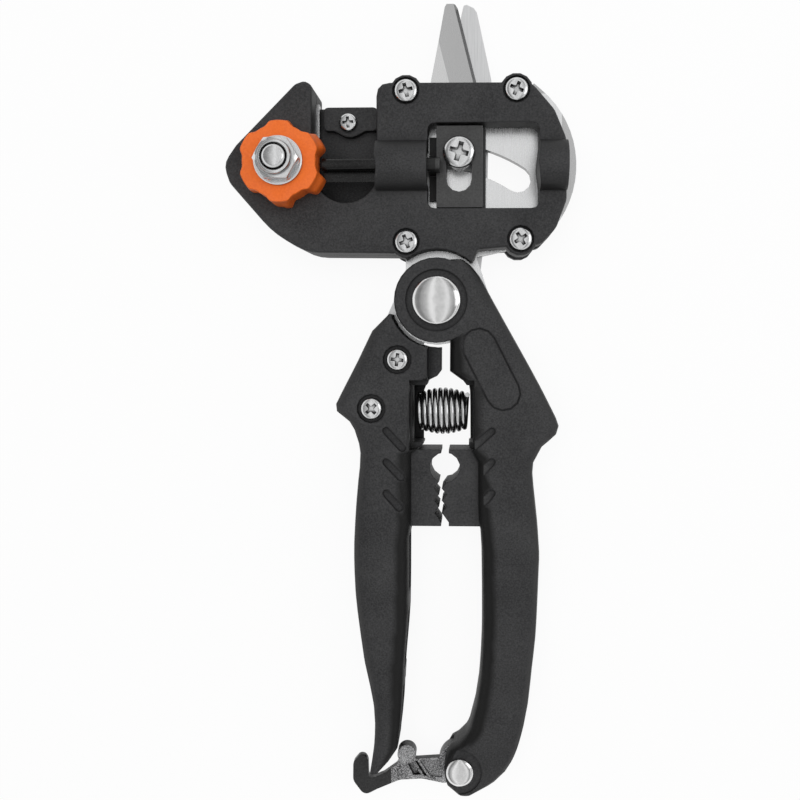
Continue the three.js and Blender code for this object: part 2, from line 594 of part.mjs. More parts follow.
function backCover() {
  const over = HEAD_HIGH + OVERRUN;
  const reach = 2 * BLADE_ROOT;
  const slab = (outline) => prism(outline, 0, over, COVER_EDGE);
  const ears = coverScrewPlaces.map(({ x, y }) => slab(circle(x, y, EAR_RADIUS)));
  const whole = cut(
    join(slab(coverOutline), ...ears), box(-reach, reach, -reach, reach, HEAD_HIGH, over + reach),
    box(THICK_RIGHT, reach, -reach, reach, BACK_PLATE_THICK, reach),
    disc(WELL.x, WELL.y, WELL.radius, WELL.floor, over),
  );
  const floorOutline = box2(GAP_LEFT - OVERRUN, GAP_RIGHT + OVERRUN, WELL.y - 2 * WELL.radius / 3, GAP_TOP);
  const floor = prism(floorOutline, 0, WELL.floor);
  const far = backScrewPlaces[2];
  const boss = disc(far.x, far.y, BOSS_RADIUS, BACK_PLATE_THICK - OVERRUN, LEVER_HIGH, SMALL_STEPS);
  const pocketLow = HEAD_LOW - CLEARANCE;
  const seatOf = (outline) => prism(grown(outline, CLEARANCE), pocketLow, over);
  const seats = [headArm, headBodyOutline()].map(seatOf);
  const holes = backScrewPlaces.flatMap(({ x, y }) => [
    disc(x, y, BACK_SCREW.shank + CLEARANCE, -OVERRUN, over, SMALL_STEPS),
    disc(x, y, BACK_SCREW.head + CLEARANCE, -OVERRUN, BACK_SCREW.sink, SMALL_STEPS),
  ]);
  const stripLow = LEVER_HIGH - STIFFENER.thick - CLEARANCE;
  const strip = prism(grown(stiffenerOutline(GAP_LEFT), CLEARANCE), stripLow, over);
  const backSlot = arcSlot(DRIVE.reach, BACK_SLOT_WIDTH, ARC_SLOT.startDegrees, ARC_SLOT.endDegrees);
  return cut(
    join(whole, floor, boss), ...seats, ...holes, strip, prism(backSlot, -OVERRUN, over),
    disc(0, 0, COVER_RELIEF, -OVERRUN, over),
    disc(ANVIL.x, PUNCH_Y, ANVIL_BOLT.head + CLEARANCE, -OVERRUN, stripLow + OVERRUN, SMALL_STEPS),
    disc(STOP_SCREW.x, STOP_SCREW.y, STOP_SCREW.shank + CLEARANCE, OVERRUN, over, SMALL_STEPS),
  );
}

function armStiffener() {
  return cut(
    prism(stiffenerOutline(GAP_LEFT - CLEARANCE), LEVER_HIGH - STIFFENER.thick, LEVER_HIGH),
    disc(ANVIL.x, PUNCH_Y, ANVIL_BOLT.radius + CLEARANCE, 0, LEVER_HIGH + OVERRUN, SMALL_STEPS),
  );
}

function stopPlate() {
  const { left, right, high, low, tongueX, half, drop, thick } = STOP;
  const corners = [
    { at: point(left, low), radius: thick / 2 }, { at: point(tongueX - half, low), radius: thick },
    { at: point(tongueX, low - drop), radius: 2 * thick }, { at: point(tongueX + half, low), radius: thick },
    { at: point(right, low), radius: thick / 2 }, { at: point(right, high), radius: thick / 2 },
    { at: point(left, high), radius: thick / 2 },
  ];
  const plate = prism(roundCorners(corners), STOP_SEAT, STOP_SEAT + thick);
  const hole = STOP_SCREW.shank + CLEARANCE;
  return cut(plate, disc(STOP_SCREW.x, STOP_SCREW.y, hole, 0, HEAD_HIGH, SMALL_STEPS));
}

// Handles

// The x of an edge at a height, eased between the points of its table
function edgeAt(shares, y) {
  const points = shared(shares, GRIP_LENGTH);
  const last = points.length - 1;
  let i = 0;
  while (i < last - 1 && points[i + 1].y > y) i++;
  const slope = (k) => {
    const a = points[Math.max(k - 1, 0)];
    const b = points[Math.min(k + 1, last)];
    return (b.x - a.x) / (b.y - a.y);
  };
  const [from, to] = [points[i], points[i + 1]];
  const span = to.y - from.y;
  const t = THREE.MathUtils.clamp((y - from.y) / span, 0, 1);
  const chord = (to.x - from.x) / span;
  const ease = (k) => (Math.abs(chord) < Math.abs(slope(k)) / 4 ? chord : slope(k));
  const h = t * t * (3 - 2 * t);
  const start = ease(i) * span * t * (1 - t) * (1 - t);
  const end = ease(i + 1) * span * t * t * (t - 1);
  return from.x + (to.x - from.x) * h + start + end;
}

// How far the handles' two faces draw in at a place along the grips
function faceDrop(y) {
  const from = GRIP_LENGTH * GRIP_FACES.fromShare;
  const to = GRIP_LENGTH * GRIP_FACES.toShare;
  return GRIP_FACES.drawIn * THREE.MathUtils.smoothstep(-y, from, to);
}

function handleBody(outerShares, innerShares, mirrored) {
  const top = Math.min(outerShares[0][1], innerShares[0][1]) * GRIP_LENGTH;
  const bottom = Math.max(outerShares.at(-1)[1], innerShares.at(-1)[1]) * GRIP_LENGTH;
  const heights = new Set([top, bottom]);
  [...outerShares, ...innerShares].forEach(([, y]) => heights.add(y * GRIP_LENGTH));
  const steps = Math.round((top - bottom) / STATION_STEP);
  for (let i = 1; i < steps; i++) heights.add(top + ((bottom - top) * i) / steps);
  const leastShare = 1 / 6;
  const least = STATION_STEP * leastShare;
  const sorted = [...heights].filter((y) => y <= top && y >= bottom).sort((a, b) => b - a);
  const stations = sorted.filter((y, i) => i === 0 || i === sorted.length - 1 || sorted[i - 1] - y > least);
  const rings = stations.map((y) => {
    const left = mirrored ? edgeAt(outerShares, y) : edgeAt(innerShares, y);
    const right = mirrored ? edgeAt(innerShares, y) : edgeAt(outerShares, y);
    const low = faceDrop(y);
    const high = HANDLE_THICK - low;
    const radius = Math.min(GRIP_EDGE, (right - left) * GRIP_ROUND_SHARE, (high - low) * GRIP_ROUND_SHARE);
    const section = box2(left, right, low, high, radius);
    return section.map((at) => new THREE.Vector3(at.x, y, at.y));
  });
  return solidOf(closedStack(rings));
}

function grooves(shares) {
  return shares.map(([x1, y1, x2, y2]) => {
    const [start, end] = shared([[x1, y1], [x2, y2]], GRIP_LENGTH);
    return prism(capsule(start, end, GROOVE_RADIUS), HANDLE_THICK - GROOVE_DEEP, HANDLE_THICK + OVERRUN);
  });
}

// One half of the jaws: the block, half of the round hole, and teeth that run in step with the other half's
function jawHalf(side) {
  const line = side < 0 ? JAW_TEETH.leftX : JAW_TEETH.rightX;
  const back = side < 0 ? CHAMBER.left - 2 * CLEARANCE : CHAMBER.right + 2 * OVERRUN;
  const teeth = [];
  for (let i = 0; i < JAW_TEETH.count; i++) {
    const y = JAW_TEETH.first - i * JAW_TEETH.pitch;
    teeth.push(point(line - JAW_TEETH.deep, y), point(line - JAW_TEETH.shallow, y - JAW_TEETH.pitch / 2));
  }
  teeth.at(-1).set(line, teeth.at(-2).y - JAW_TEETH.ease);
  const outline = [
    point(back, JAW.top), point(line, JAW.top), point(line, JAW_TEETH.first + JAW_TEETH.ease), ...teeth,
    point(line, JAW.bottom), point(back, JAW.bottom),
  ];
  const block = prism(outline, JAW.low, JAW.high);
  return cut(block, disc(JAW.holeX, JAW.holeY, JAW.hole, JAW.low - OVERRUN, JAW.high + OVERRUN, SMALL_STEPS));
}

// The room of the spring, and its mouth in the handles' front
function springChamber() {
  const mouth = CHAMBER_MOUTH;
  return join(
    box(CHAMBER.left, CHAMBER.right, CHAMBER.low, CHAMBER.high, CHAMBER.wall, HANDLE_THICK - CHAMBER.wall),
    box(mouth.left, mouth.right, mouth.low, mouth.high, mouth.floor, HANDLE_THICK + OVERRUN),
  );
}

function leftHandle() {
  const high = HANDLE_THICK + OVERRUN;
  const body = join(handleBody(leftOuterShares, leftInnerShares, true), jawHalf(-1));
  const tangSeat = prism(grown(leverTang, CLEARANCE), LEVER_LOW - CLEARANCE, LEVER_HIGH + CLEARANCE);
  const pockets = pocketShares.map(([top, bottom]) => {
    const [y1, y2] = [top * GRIP_LENGTH, bottom * GRIP_LENGTH];
    const [x1, x2] = [edgeAt(leftInnerShares, y1), edgeAt(leftInnerShares, y2)];
    const corners = [
      [x1 + OVERRUN, y1], [x1 - POCKET.deep, y1], [x2 - POCKET.deep, y2], [x2 + OVERRUN, y2],
    ];
    const outline = corners.map(([x, y]) => point(x, y));
    return prism(outline, POCKET.low, POCKET.high);
  });
  const holes = leftScrewPlaces.flatMap(({ x, y }) => [
    disc(x, y, HANDLE_SCREW.shank + CLEARANCE, OVERRUN, high, SMALL_STEPS),
    disc(x, y, HANDLE_SCREW.head + HANDLE_SCREW.ring, HANDLE_THICK - HANDLE_SCREW.sink, high, SMALL_STEPS),
  ]);
  const tipLeft = HOOK.inner - 2 * HOOK.wide;
  const tipLow = box(tipLeft, 0, -2 * GRIP_LENGTH, LIP.end, -OVERRUN, LATCH.high + CLEARANCE);
  const lipSide = box(
    tipLeft, HOOK.inner + LIP.gap, -2 * GRIP_LENGTH, HOOK.top + LIP.gap,
    -OVERRUN, LATCH.high + CLEARANCE,
  );
  return cut(
    body, disc(0, 0, HUB_RELIEF, -OVERRUN, high), tangSeat, springChamber(), ...pockets, ...holes,
    ...grooves(leftGrooveShares), tipLow, lipSide,
    box(SHELF.left, HUB_RELIEF, SHELF.low, 0, SHELF.floor, high),
  );
}

function rightHandle() {
  const high = HANDLE_THICK + OVERRUN;
  const hub = prism(circle(0, 0, HUB_RADIUS, ROUND_STEPS), COVER_LOW, HUB_HIGH, COVER_EDGE / 2);
  const reach = 2 * GRIP_LENGTH;
  const body = cut(
    handleBody(rightOuterShares, rightInnerShares, false),
    disc(0, 0, HUB_RELIEF, -OVERRUN, COVER_LOW),
    box(-reach, reach, -OVERRUN - CLEARANCE, reach, -OVERRUN, COVER_LOW),
  );
  const tangSeat = prism(grown(headTang, CLEARANCE), HEAD_LOW - CLEARANCE, HEAD_HIGH + CLEARANCE);
  const holes = rightScrewPlaces.flatMap(({ x, y }) => [
    disc(x, y, HANDLE_SCREW.shank + CLEARANCE, -OVERRUN, HANDLE_THICK - 2 * OVERRUN, SMALL_STEPS),
    disc(x, y, HANDLE_SCREW.head + CLEARANCE, -OVERRUN, HANDLE_SCREW.headThick + CLEARANCE, SMALL_STEPS),
  ]);
  const [ovalTop, ovalLow] = shared(ovalShares, GRIP_LENGTH);
  const ovalFloor = HANDLE_THICK - OVAL.deep;
  const ovalRing = cut(
    prism(capsule(ovalTop, ovalLow, OVAL.radius), ovalFloor, high),
    prism(capsule(ovalTop, ovalLow, OVAL.radius - OVAL.line), ovalFloor - OVERRUN, high + OVERRUN),
  );
  const slotLow = LATCH.low - CLEARANCE;
  const slotHigh = LATCH.high + CLEARANCE;
  const slotRound = LATCH.boss + 2 * CLEARANCE;
  const latchSlot = join(
    disc(LATCH.x, LATCH.y, slotRound, slotLow, slotHigh),
    box(-reach, LATCH.x, -reach, LATCH.y + LATCH_RISE, slotLow, slotHigh),
    box(-reach, LATCH.x + slotRound, -reach, LATCH.y, slotLow, slotHigh),
  );
  const spotFloor = HANDLE_THICK - faceDrop(LATCH.y) - SPOT_FACE.deep;
  return cut(
    join(body, hub, jawHalf(1)), tangSeat, springChamber(), ...holes, ovalRing, ...grooves(rightGrooveShares),
    disc(0, 0, BOLT.radius + CLEARANCE, -OVERRUN, high, SMALL_STEPS),
    disc(0, 0, HUB_RECESS.radius, HUB_HIGH - HUB_RECESS.depth, high), latchSlot,
    disc(LATCH.x, LATCH.y, RIVET.radius + CLEARANCE, -OVERRUN, high, SMALL_STEPS),
    disc(LATCH.x, LATCH.y, SPOT_FACE.radius, spotFloor, high),
  );
}

// Pivot

function pivotBolt() {
  const seat = HUB_HIGH - HUB_RECESS.depth + CLEARANCE;
  const profile = [point(0, 0), point(BOLT.radius, 0), point(BOLT.radius, seat), point(BOLT.head, seat)];
  const dome = new THREE.EllipseCurve(0, seat + BOLT.rim, BOLT.head, BOLT.dome - BOLT.rim, 0, Math.PI / 2);
  profile.push(...dome.getPoints(2 * CORNER_STEPS));
  profile.at(-1).x = 0;
  const geometry = new THREE.LatheGeometry(profile, ROUND_STEPS);
  geometry.rotateX(Math.PI / 2);
  return solidOf(geometry);
}

function hexSolid(acrossFlats, low, high) {
  const corner = acrossFlats / Math.sqrt(3);
  return disc(0, 0, corner, low, high, 6);
}

function ringSolid(radius, bore, low, high) {
  return cut(disc(0, 0, radius, low, high), disc(0, 0, bore, low - OVERRUN, high + OVERRUN, SMALL_STEPS));
}

function pivotNut() {
  return cut(
    hexSolid(NUT_WIDE, CLEARANCE, NUT_THICK),
    disc(0, 0, BOLT.radius + CLEARANCE, -OVERRUN, NUT_THICK + OVERRUN, SMALL_STEPS),
  );
}

function pivotWasher() {
  const high = LEVER_LOW - CLEARANCE;
  return ringSolid(PIVOT_WASHER_RADIUS, BOLT.radius + CLEARANCE, high - WASHER_THICK, high);
}

// Grafting drive

function slideBlock() {
  const high = COVER_LOW + BLOCK.thick;
  const body = box(BLOCK.left, BLOCK.right, BLOCK.low, BLOCK.high, COVER_LOW, high);
  const footHigh = COVER_LOW + FOOT.thick;
  const [footLow, footTop] = [BLOCK.low + WINDOW.corner, BLOCK.high - WINDOW.corner];
  const foot = join(
    box(BLOCK.left, BLOCK.right + FOOT.right, BLOCK.low, BLOCK.high, COVER_LOW, footHigh),
    box(WINDOW.left + CLEARANCE, BLOCK.right, footLow, footTop, COVER_LOW, footHigh),
  );
  const lugRight = BLOCK.left + OVERRUN;
  const lug = join(
    box(LUG.left, lugRight, PUNCH_Y - LUG.half, PUNCH_Y + LUG.half, COVER_LOW, PUNCH_Z),
    barAlongX(PUNCH_Y, PUNCH_Z, LUG.half, LUG.left, lugRight, SMALL_STEPS),
  );
  const radius = BLOCK_SLOT.width / 2;
  const start = point(drivePin.x, BLOCK_SLOT.low + radius);
  const end = point(drivePin.x, BLOCK_SLOT.high - radius);
  const slot = prism(capsule(start, end, radius), COVER_LOW - OVERRUN, high + OVERRUN);
  const over = PUNCH_Z + LUG.half + OVERRUN;
  const headRoom = box(BLOCK.left + BLOCK.headRoom, BLOCK.right, BLOCK.low, BLOCK.high, high, over);
  return cut(join(body, foot, lug), slot, headRoom);
}

// The punch: a strip bent to a loop with two wings, drawn across the punch line and run along it
function graftingBlade() {
  const middle = LOOP_RADIUS - STRIP_THICK / 2;
  const neck = Math.PI / 3; // the loop stays open this far either side of straight down
  const arc = new THREE.EllipseCurve(0, 0, middle, middle, -neck, Math.PI + neck);
  const loop = arc.getPoints(4 * CORNER_STEPS);
  const neckHalf = middle * LOOP_NECK_SHARE;
  const line = [
    point(WING_REACH.upper, -WING_DROP), point(neckHalf, -WING_DROP), ...loop,
    point(-neckHalf, -WING_DROP), point(-WING_REACH.lower, -WING_DROP),
  ];
  const length = rodLeft - CLEARANCE - bladeTip;
  const geometry = new THREE.ExtrudeGeometry(new THREE.Shape(stripAlong(line, STRIP_THICK)), {
    depth: length, bevelEnabled: false,
  });
  geometry.rotateX(Math.PI / 2);
  geometry.rotateZ(Math.PI / 2);
  return solidOf(geometry);
}

const rodRight = LUG.left - CLEARANCE;
const rodLeft = rodRight - ROD.length;
const bladeTip = ANVIL.x + ANVIL.root + TIP_GAP;

// Anvil

function anvilWheel() {
  const seat = COVER_HIGH + CLEARANCE;
  const levels = [
    { z: seat, lobe: ANVIL.lobe }, { z: seat + ANVIL.thick * ANVIL.shoulderShare, lobe: ANVIL.lobe },
    { z: seat + ANVIL.thick, lobe: ANVIL.frontLobe },
  ];
  const count = ANVIL.lobes * 6;
  const rings = levels.map(({ z, lobe }) => Array.from({ length: count }, (_, i) => {
    const angle = (i / count) * 2 * Math.PI;
    const radius = ANVIL.root + (lobe * (1 - Math.cos(ANVIL.lobes * angle))) / 2;
    return new THREE.Vector3(ANVIL.x + radius * Math.cos(angle), PUNCH_Y + radius * Math.sin(angle), z);
  }));
  const wheel = solidOf(closedStack(rings));
  const top = seat + ANVIL.thick + OVERRUN;
  return cut(wheel, disc(ANVIL.x, PUNCH_Y, ANVIL_BOLT.radius + CLEARANCE, seat - OVERRUN, top, SMALL_STEPS));
}

function anvilNut() {
  const { wide, thick, collar, collarThick } = ANVIL_NUT;
  const top = thick + collarThick;
  const whole = join(hexSolid(wide, 0, thick), disc(0, 0, collar, thick / 2, top, SMALL_STEPS));
  return cut(whole, disc(0, 0, ANVIL_BOLT.radius + CLEARANCE, -OVERRUN, top + OVERRUN, SMALL_STEPS));
}

function anvilBolt(top) {
  return join(
    disc(0, 0, ANVIL_BOLT.head, CLEARANCE, ANVIL_BOLT.headThick, SMALL_STEPS),
    disc(0, 0, ANVIL_BOLT.radius, ANVIL_BOLT.headThick / 2, top, SMALL_STEPS),
  );
}

// Latch

const latchBodyShares = [
  [0.03, -1.236], [-0.06, -1.24], [-0.06, -1.226], [-0.1, -1.226], [-0.108, -1.258], [-0.145, -1.285],
  [-0.188, -1.3], [-0.188, -1.246], [-0.195, -1.236], [-0.208, -1.235], [-0.22, -1.244], [-0.2285, -1.262],
  [-0.23, -1.285], [-0.225, -1.31], [-0.214, -1.332], [-0.198, -1.344], [-0.182, -1.338], [-0.164, -1.328],
  [-0.13, -1.31], [-0.102, -1.301], [-0.07, -1.297], [-0.04, -1.298], [0.018, -1.308], [0.062, -1.3],
];

function latchPiece() {
  const whole = join(
    prism(shared(latchBodyShares, GRIP_LENGTH), LATCH.low, LATCH.high),
    disc(LATCH.x, LATCH.y, LATCH.boss, LATCH.low, LATCH.high),
    disc(KNOB.x, KNOB.y, KNOB.radius, LATCH.low, LATCH.high + KNOB.stick, SMALL_STEPS),
  );
  const { x, y, bore, low, high } = LATCH;
  return cut(whole, disc(x, y, bore, low - OVERRUN, high + OVERRUN, SMALL_STEPS));
}

function latchRivet() {
  const low = faceDrop(LATCH.y) - CLEARANCE;
  const high = HANDLE_THICK - low - SPOT_FACE.deep;
  const { radius, head: headRadius, headThick } = RIVET;
  const rim = headThick / 2;
  const profile = [
    point(0, low - rim), point(headRadius, low - rim), point(headRadius, low), point(radius, low),
    point(radius, high), point(headRadius, high), point(headRadius, high + rim),
    point(radius, high + headThick),
    point(0, high + headThick),
  ];
  const geometry = new THREE.LatheGeometry(profile, SMALL_STEPS);
  geometry.rotateX(Math.PI / 2);
  return solidOf(geometry);
}

// Return spring: one unbroken wire, wider in the middle

function springLine() {
  const line = [];
  const steps = SPRING.curls * CURL_STEPS;
  const start = SPRING.left + 2 * SPRING.wire;
  const radiusAt = (t) => SPRING.ends + (SPRING.middle - SPRING.ends) * Math.sin(Math.PI * t);
  for (let i = 0; i <= steps; i++) {
    const t = i / steps;
    const angle = t * SPRING.curls * 2 * Math.PI;
    const radius = radiusAt(t);
    const x = start + t * SPRING.curls * SPRING.pitch - SPRING.wire;
    line.push(new THREE.Vector3(x, SPRING.y + radius * Math.cos(angle), SPRING.z + radius * Math.sin(angle)));
  }
  return line;
}

function springWire() {
  const line = springLine();
  const steps = line.length - 1;
  const first = line[0].clone().add(new THREE.Vector3(-SPRING.wire, 0, 0));
  const last = line[steps].clone().add(new THREE.Vector3(SPRING.wire, 0, 0));
  const path = [first, ...line, last];
  const rings = path.map((at, i) => {
    const before = path[Math.max(i - 1, 0)];
    const after = path[Math.min(i + 1, path.length - 1)];
    const along = after.clone().sub(before).normalize();
    const outward = new THREE.Vector3(0, at.y - SPRING.y, at.z - SPRING.z).normalize();
    const across = new THREE.Vector3().crossVectors(along, outward).normalize();
    const up = new THREE.Vector3().crossVectors(across, along).normalize();
    return Array.from({ length: WIRE_SIDES }, (_, j) => {
      const angle = (j / WIRE_SIDES) * 2 * Math.PI;
      return at.clone()
        .addScaledVector(up, (Math.cos(angle) * SPRING.wire) / 2)
        .addScaledVector(across, (Math.sin(angle) * SPRING.wire) / 2);
    });
  });
  const wire = solidOf(closedStack(rings));
  console.log('return spring: least gap between curls', leastGap(rings).toFixed(2), 'mm');
  return wire.volume() > 0 ? wire : solidOf(closedStack(rings.map((ring) => [...ring].reverse())));
}

// The least distance between the wire's points that lie a curl or more apart
function leastGap(rings) {
  let least = Infinity;
  rings.forEach((ring, i) => rings.slice(i + CURL_STEPS - 1).forEach((other) => {
    ring.forEach((a) => other.forEach((b) => {
      least = Math.min(least, a.distanceTo(b));
    }));
  }));
  return least;
}

// Assembly

place(head, 'front_cover', frontCover(), blackPlastic());
place(head, 'back_cover', backCover(), blackPlastic());
place(head, 'head_plate', headPlate(), brushedSteel());
place(head, 'right_handle', rightHandle(), blackPlastic());
place(head, 'pivot_bolt', pivotBolt(), chrome());
place(head, 'pivot_nut', pivotNut(), zinc());
place(head, 'pivot_washer', pivotWasher(), zinc());

coverScrewPlaces.forEach(({ x, y }, i) => {
  const seat = COVER_HIGH - COVER_SCREW.sink + CLEARANCE;
  const shape = screwSolid({ ...COVER_SCREW, length: seat - HEAD_LOW });
  place(head, `cover_screw_${i + 1}`, shape, zinc(), x, y, seat);
});

backScrewPlaces.forEach(({ x, y }, i) => {
  const seat = BACK_SCREW.sink - CLEARANCE;
  const shape = screwSolid({ ...BACK_SCREW, length: HEAD_HIGH - seat });
  place(head, `back_screw_${i + 1}`, shape, zinc(), x, y, seat).rotation.x = Math.PI;
});

rightScrewPlaces.forEach(({ x, y }, i) => {
  const seat = HANDLE_SCREW.headThick;
  const shape = screwSolid({ ...HANDLE_SCREW, length: HEAD_HIGH - seat });
  place(head, `right_handle_screw_${i + 1}`, shape, zinc(), x, y, seat).rotation.x = Math.PI;
});

place(head, 'anvil_wheel', anvilWheel(), orangeNylon());
const wheelTop = COVER_HIGH + CLEARANCE + ANVIL.thick;
const nutSeat = wheelTop + 2 * CLEARANCE + ANVIL_WASHER.thick;
const washer = ringSolid(ANVIL_WASHER.radius, ANVIL_BOLT.radius + CLEARANCE, 0, ANVIL_WASHER.thick);
place(head, 'anvil_washer', washer, zinc(), ANVIL.x, PUNCH_Y, wheelTop + CLEARANCE);
place(head, 'anvil_nut', anvilNut(), zinc(), ANVIL.x, PUNCH_Y, nutSeat);
const anvilBoltTop = nutSeat + ANVIL_NUT.thick + ANVIL_NUT.collarThick + ANVIL_BOLT.stick;
place(head, 'anvil_bolt', anvilBolt(anvilBoltTop), zinc(), ANVIL.x, PUNCH_Y, 0);

place(head, 'arm_stiffener', armStiffener(), brushedSteel());
place(head, 'stop_plate', stopPlate(), blackPlastic());
const stopScrewSeat = STOP_SEAT + STOP.thick + CLEARANCE;
place(head, 'stop_plate_screw', screwSolid(STOP_SCREW), zinc(), STOP_SCREW.x, STOP_SCREW.y, stopScrewSeat);

place(lever, 'lever_plate', leverPlate(), brushedSteel());
place(lever, 'left_handle', leftHandle(), blackPlastic());
leftScrewPlaces.forEach(({ x, y }, i) => {
  const seat = HANDLE_THICK - HANDLE_SCREW.sink + CLEARANCE;
  const shape = screwSolid({ ...HANDLE_SCREW, length: seat - LEVER_LOW });
  place(lever, `left_handle_screw_${i + 1}`, shape, zinc(), x, y, seat);
});
const driveSeat = COVER_LOW + BLOCK.thick + CLEARANCE;
const driveSizes = { ...DRIVE, shank: DRIVE.radius, length: driveSeat - LEVER_LOW };
place(lever, 'drive_screw', screwSolid(driveSizes), zinc(), drivePin.x, drivePin.y, driveSeat);

place(slide, 'slide_block', slideBlock(), darkSteel());
const bladeRod = barAlongX(PUNCH_Y, PUNCH_Z, ROD.radius, rodLeft, rodRight, SMALL_STEPS);
place(slide, 'blade_rod', bladeRod, darkSteel());
place(slide, 'grafting_blade', graftingBlade(), darkSteel(), bladeTip, PUNCH_Y, PUNCH_Z);

place(latch, 'latch', latchPiece(), gunmetal());
place(head, 'latch_rivet', latchRivet(), zinc(), LATCH.x, LATCH.y, 0);
place(head, 'return_spring', springWire(), zinc());

export default tool;
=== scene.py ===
# The grafting tool, dressed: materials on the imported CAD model, and finer screws, spring, wheel and latch.
import json
import math

import bmesh
import bpy
from mathutils import Matrix, Vector

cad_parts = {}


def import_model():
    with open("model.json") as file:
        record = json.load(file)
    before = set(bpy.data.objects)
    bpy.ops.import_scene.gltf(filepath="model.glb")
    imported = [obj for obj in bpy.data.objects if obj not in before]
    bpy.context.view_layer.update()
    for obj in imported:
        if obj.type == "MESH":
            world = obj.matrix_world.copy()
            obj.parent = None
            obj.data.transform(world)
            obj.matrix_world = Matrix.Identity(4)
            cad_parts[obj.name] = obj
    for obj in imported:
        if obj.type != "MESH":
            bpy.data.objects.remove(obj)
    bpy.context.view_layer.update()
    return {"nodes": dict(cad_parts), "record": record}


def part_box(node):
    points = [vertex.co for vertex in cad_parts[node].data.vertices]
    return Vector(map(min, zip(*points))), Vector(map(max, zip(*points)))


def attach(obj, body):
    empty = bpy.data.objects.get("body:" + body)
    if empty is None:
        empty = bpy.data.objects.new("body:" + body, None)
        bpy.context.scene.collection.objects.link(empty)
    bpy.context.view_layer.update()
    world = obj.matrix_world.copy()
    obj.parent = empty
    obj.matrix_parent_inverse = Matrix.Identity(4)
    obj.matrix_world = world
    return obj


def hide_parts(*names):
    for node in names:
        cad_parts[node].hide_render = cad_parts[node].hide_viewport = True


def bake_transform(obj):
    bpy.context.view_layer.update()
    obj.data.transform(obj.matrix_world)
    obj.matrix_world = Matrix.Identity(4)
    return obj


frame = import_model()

# Shapes are in millimetres until skin() makes meshes of them.
# Finishes, zones, the stage, lamps and the camera are in metres.
MM = 0.001
FINE_STEPS = 72  # sides of a round that shows
SOFT_ANGLE = math.radians(38)  # a crease sharper than this stays an edge
BEVEL_ANGLE = math.radians(40)  # an edge sharper than this is rounded by softened()
WELD_GAP = 0.000002  # in metres

# What all finishes share
BLOTCH_SHARE = 0.35  # of the slow blotch, over the fine grain
GRAIN_LEVELS = (0.3, 0.7)  # of grain and blotch together, for the lowest and the highest roughness
WEAR_AND_HIGHLIGHT_LEVELS = (0.97, 0.8)  # how alike the flat and the soft normal are, for no lightening of an edge and for full lightening, as wear and painted highlight
SHADE_LEVELS = (0.25, 0.85)  # how open a place is, for full painted shade and for none
EDGE_SAMPLES = 4
SHADE_SAMPLES = 6


# Node trees. An output is a pair of its node and its name or number there.

def grey(value):
    return (value, value, value)


WHITE = (*grey(1), 1)


def new_tree(name):
    material = bpy.data.materials.new(name)
    material.use_nodes = True
    tree = material.node_tree
    shader = tree.nodes["Principled BSDF"]
    return material, tree, shader


def add(tree, kind, values=None, **settings):
    node = tree.nodes.new(kind)
    for key, value in settings.items():
        setattr(node, key, value)
    for key, value in (values or {}).items():
        node.inputs[key].default_value = value
    return node


def link(tree, source, output, target, socket):
    tree.links.new(source.outputs[output], target.inputs[socket])


def noise(tree, scale, stretch=(1, 1, 1), detail=3.0, rough=0.6):
    where = add(tree, "ShaderNodeTexCoord")
    mapping = add(tree, "ShaderNodeMapping", {"Scale": stretch})
    field = add(tree, "ShaderNodeTexNoise", {"Scale": scale, "Detail": detail, "Roughness": rough})
    link(tree, where, "Object", mapping, "Vector")
    link(tree, mapping, "Vector", field, "Vector")
    return field, "Fac"


def separated(tree, output):
    """A node with the X, Y and Z of a texture coordinate."""
    where = add(tree, "ShaderNodeTexCoord")
    parts = add(tree, "ShaderNodeSeparateXYZ")
    link(tree, where, output, parts, 0)
    return parts


def remapped(tree, value, low, high, to_low, to_high):
    node = add(tree, "ShaderNodeMapRange", {1: low, 2: high, 3: to_low, 4: to_high})
    link(tree, *value, node, 0)
    return node, 0


def mixed(tree, base, mask, colour):
    """A colour laid over the base output, as much as the mask output says."""
    mix = add(tree, "ShaderNodeMix", data_type="RGBA", blend_type="MIX")
    mix.inputs[7].default_value = (*colour, 1)
    link(tree, *mask, mix, 0)
    link(tree, *base, mix, 6)
    return mix, 2


def maths(tree, operation, first, second=0):
    """What the operation makes of two values, each a number or an output."""
    node = add(tree, "ShaderNodeMath", operation=operation)
    for socket, value in enumerate((first, second)):
        if isinstance(value, tuple):
            link(tree, *value, node, socket)
        else:
            node.inputs[socket].default_value = value
    return node, 0


# Layers of a finish, among them painted shade on walls and in corners and a painted highlight on edges. Each
# takes the colour's output so far and gives the next one.

def two_tone(tree, value, levels, colours):
    ramp = add(tree, "ShaderNodeValToRGB")
    for i, (level, colour) in enumerate(zip(levels, colours)):
        ramp.color_ramp.elements[i].position = level
        ramp.color_ramp.elements[i].color = (*colour, 1)
    link(tree, *value, ramp, 0)
    return ramp, "Color"


def zoned(tree, base, zones):
    place = separated(tree, "Object")
    for colour, share, planes in zones:
        mask = share
        for a, b, c in planes:
            x = maths(tree, "MULTIPLY", (place, "X"), a)
            y = maths(tree, "MULTIPLY", (place, "Y"), b)
            inside = maths(tree, "GREATER_THAN", maths(tree, "ADD", x, y), c)
            mask = maths(tree, "MULTIPLY", inside, mask)
        base = mixed(tree, base, mask, colour)
    return base


# Painted shade: walls are darkened as they turn away from facing along z
def shaded_walls(tree, base, colour, low, high, share):
    level = maths(tree, "ABSOLUTE", (separated(tree, "Normal"), "Z"))
    return mixed(tree, base, remapped(tree, level, low, high, share, 0.0), colour)


# Painted shade on walls that face one way along x
def shaded_inward_walls(tree, base, colour, way, low, high, share):
    across = maths(tree, "MULTIPLY", (separated(tree, "Normal"), "X"), way)
    return mixed(tree, base, remapped(tree, across, low, high, 0.0, share), colour)
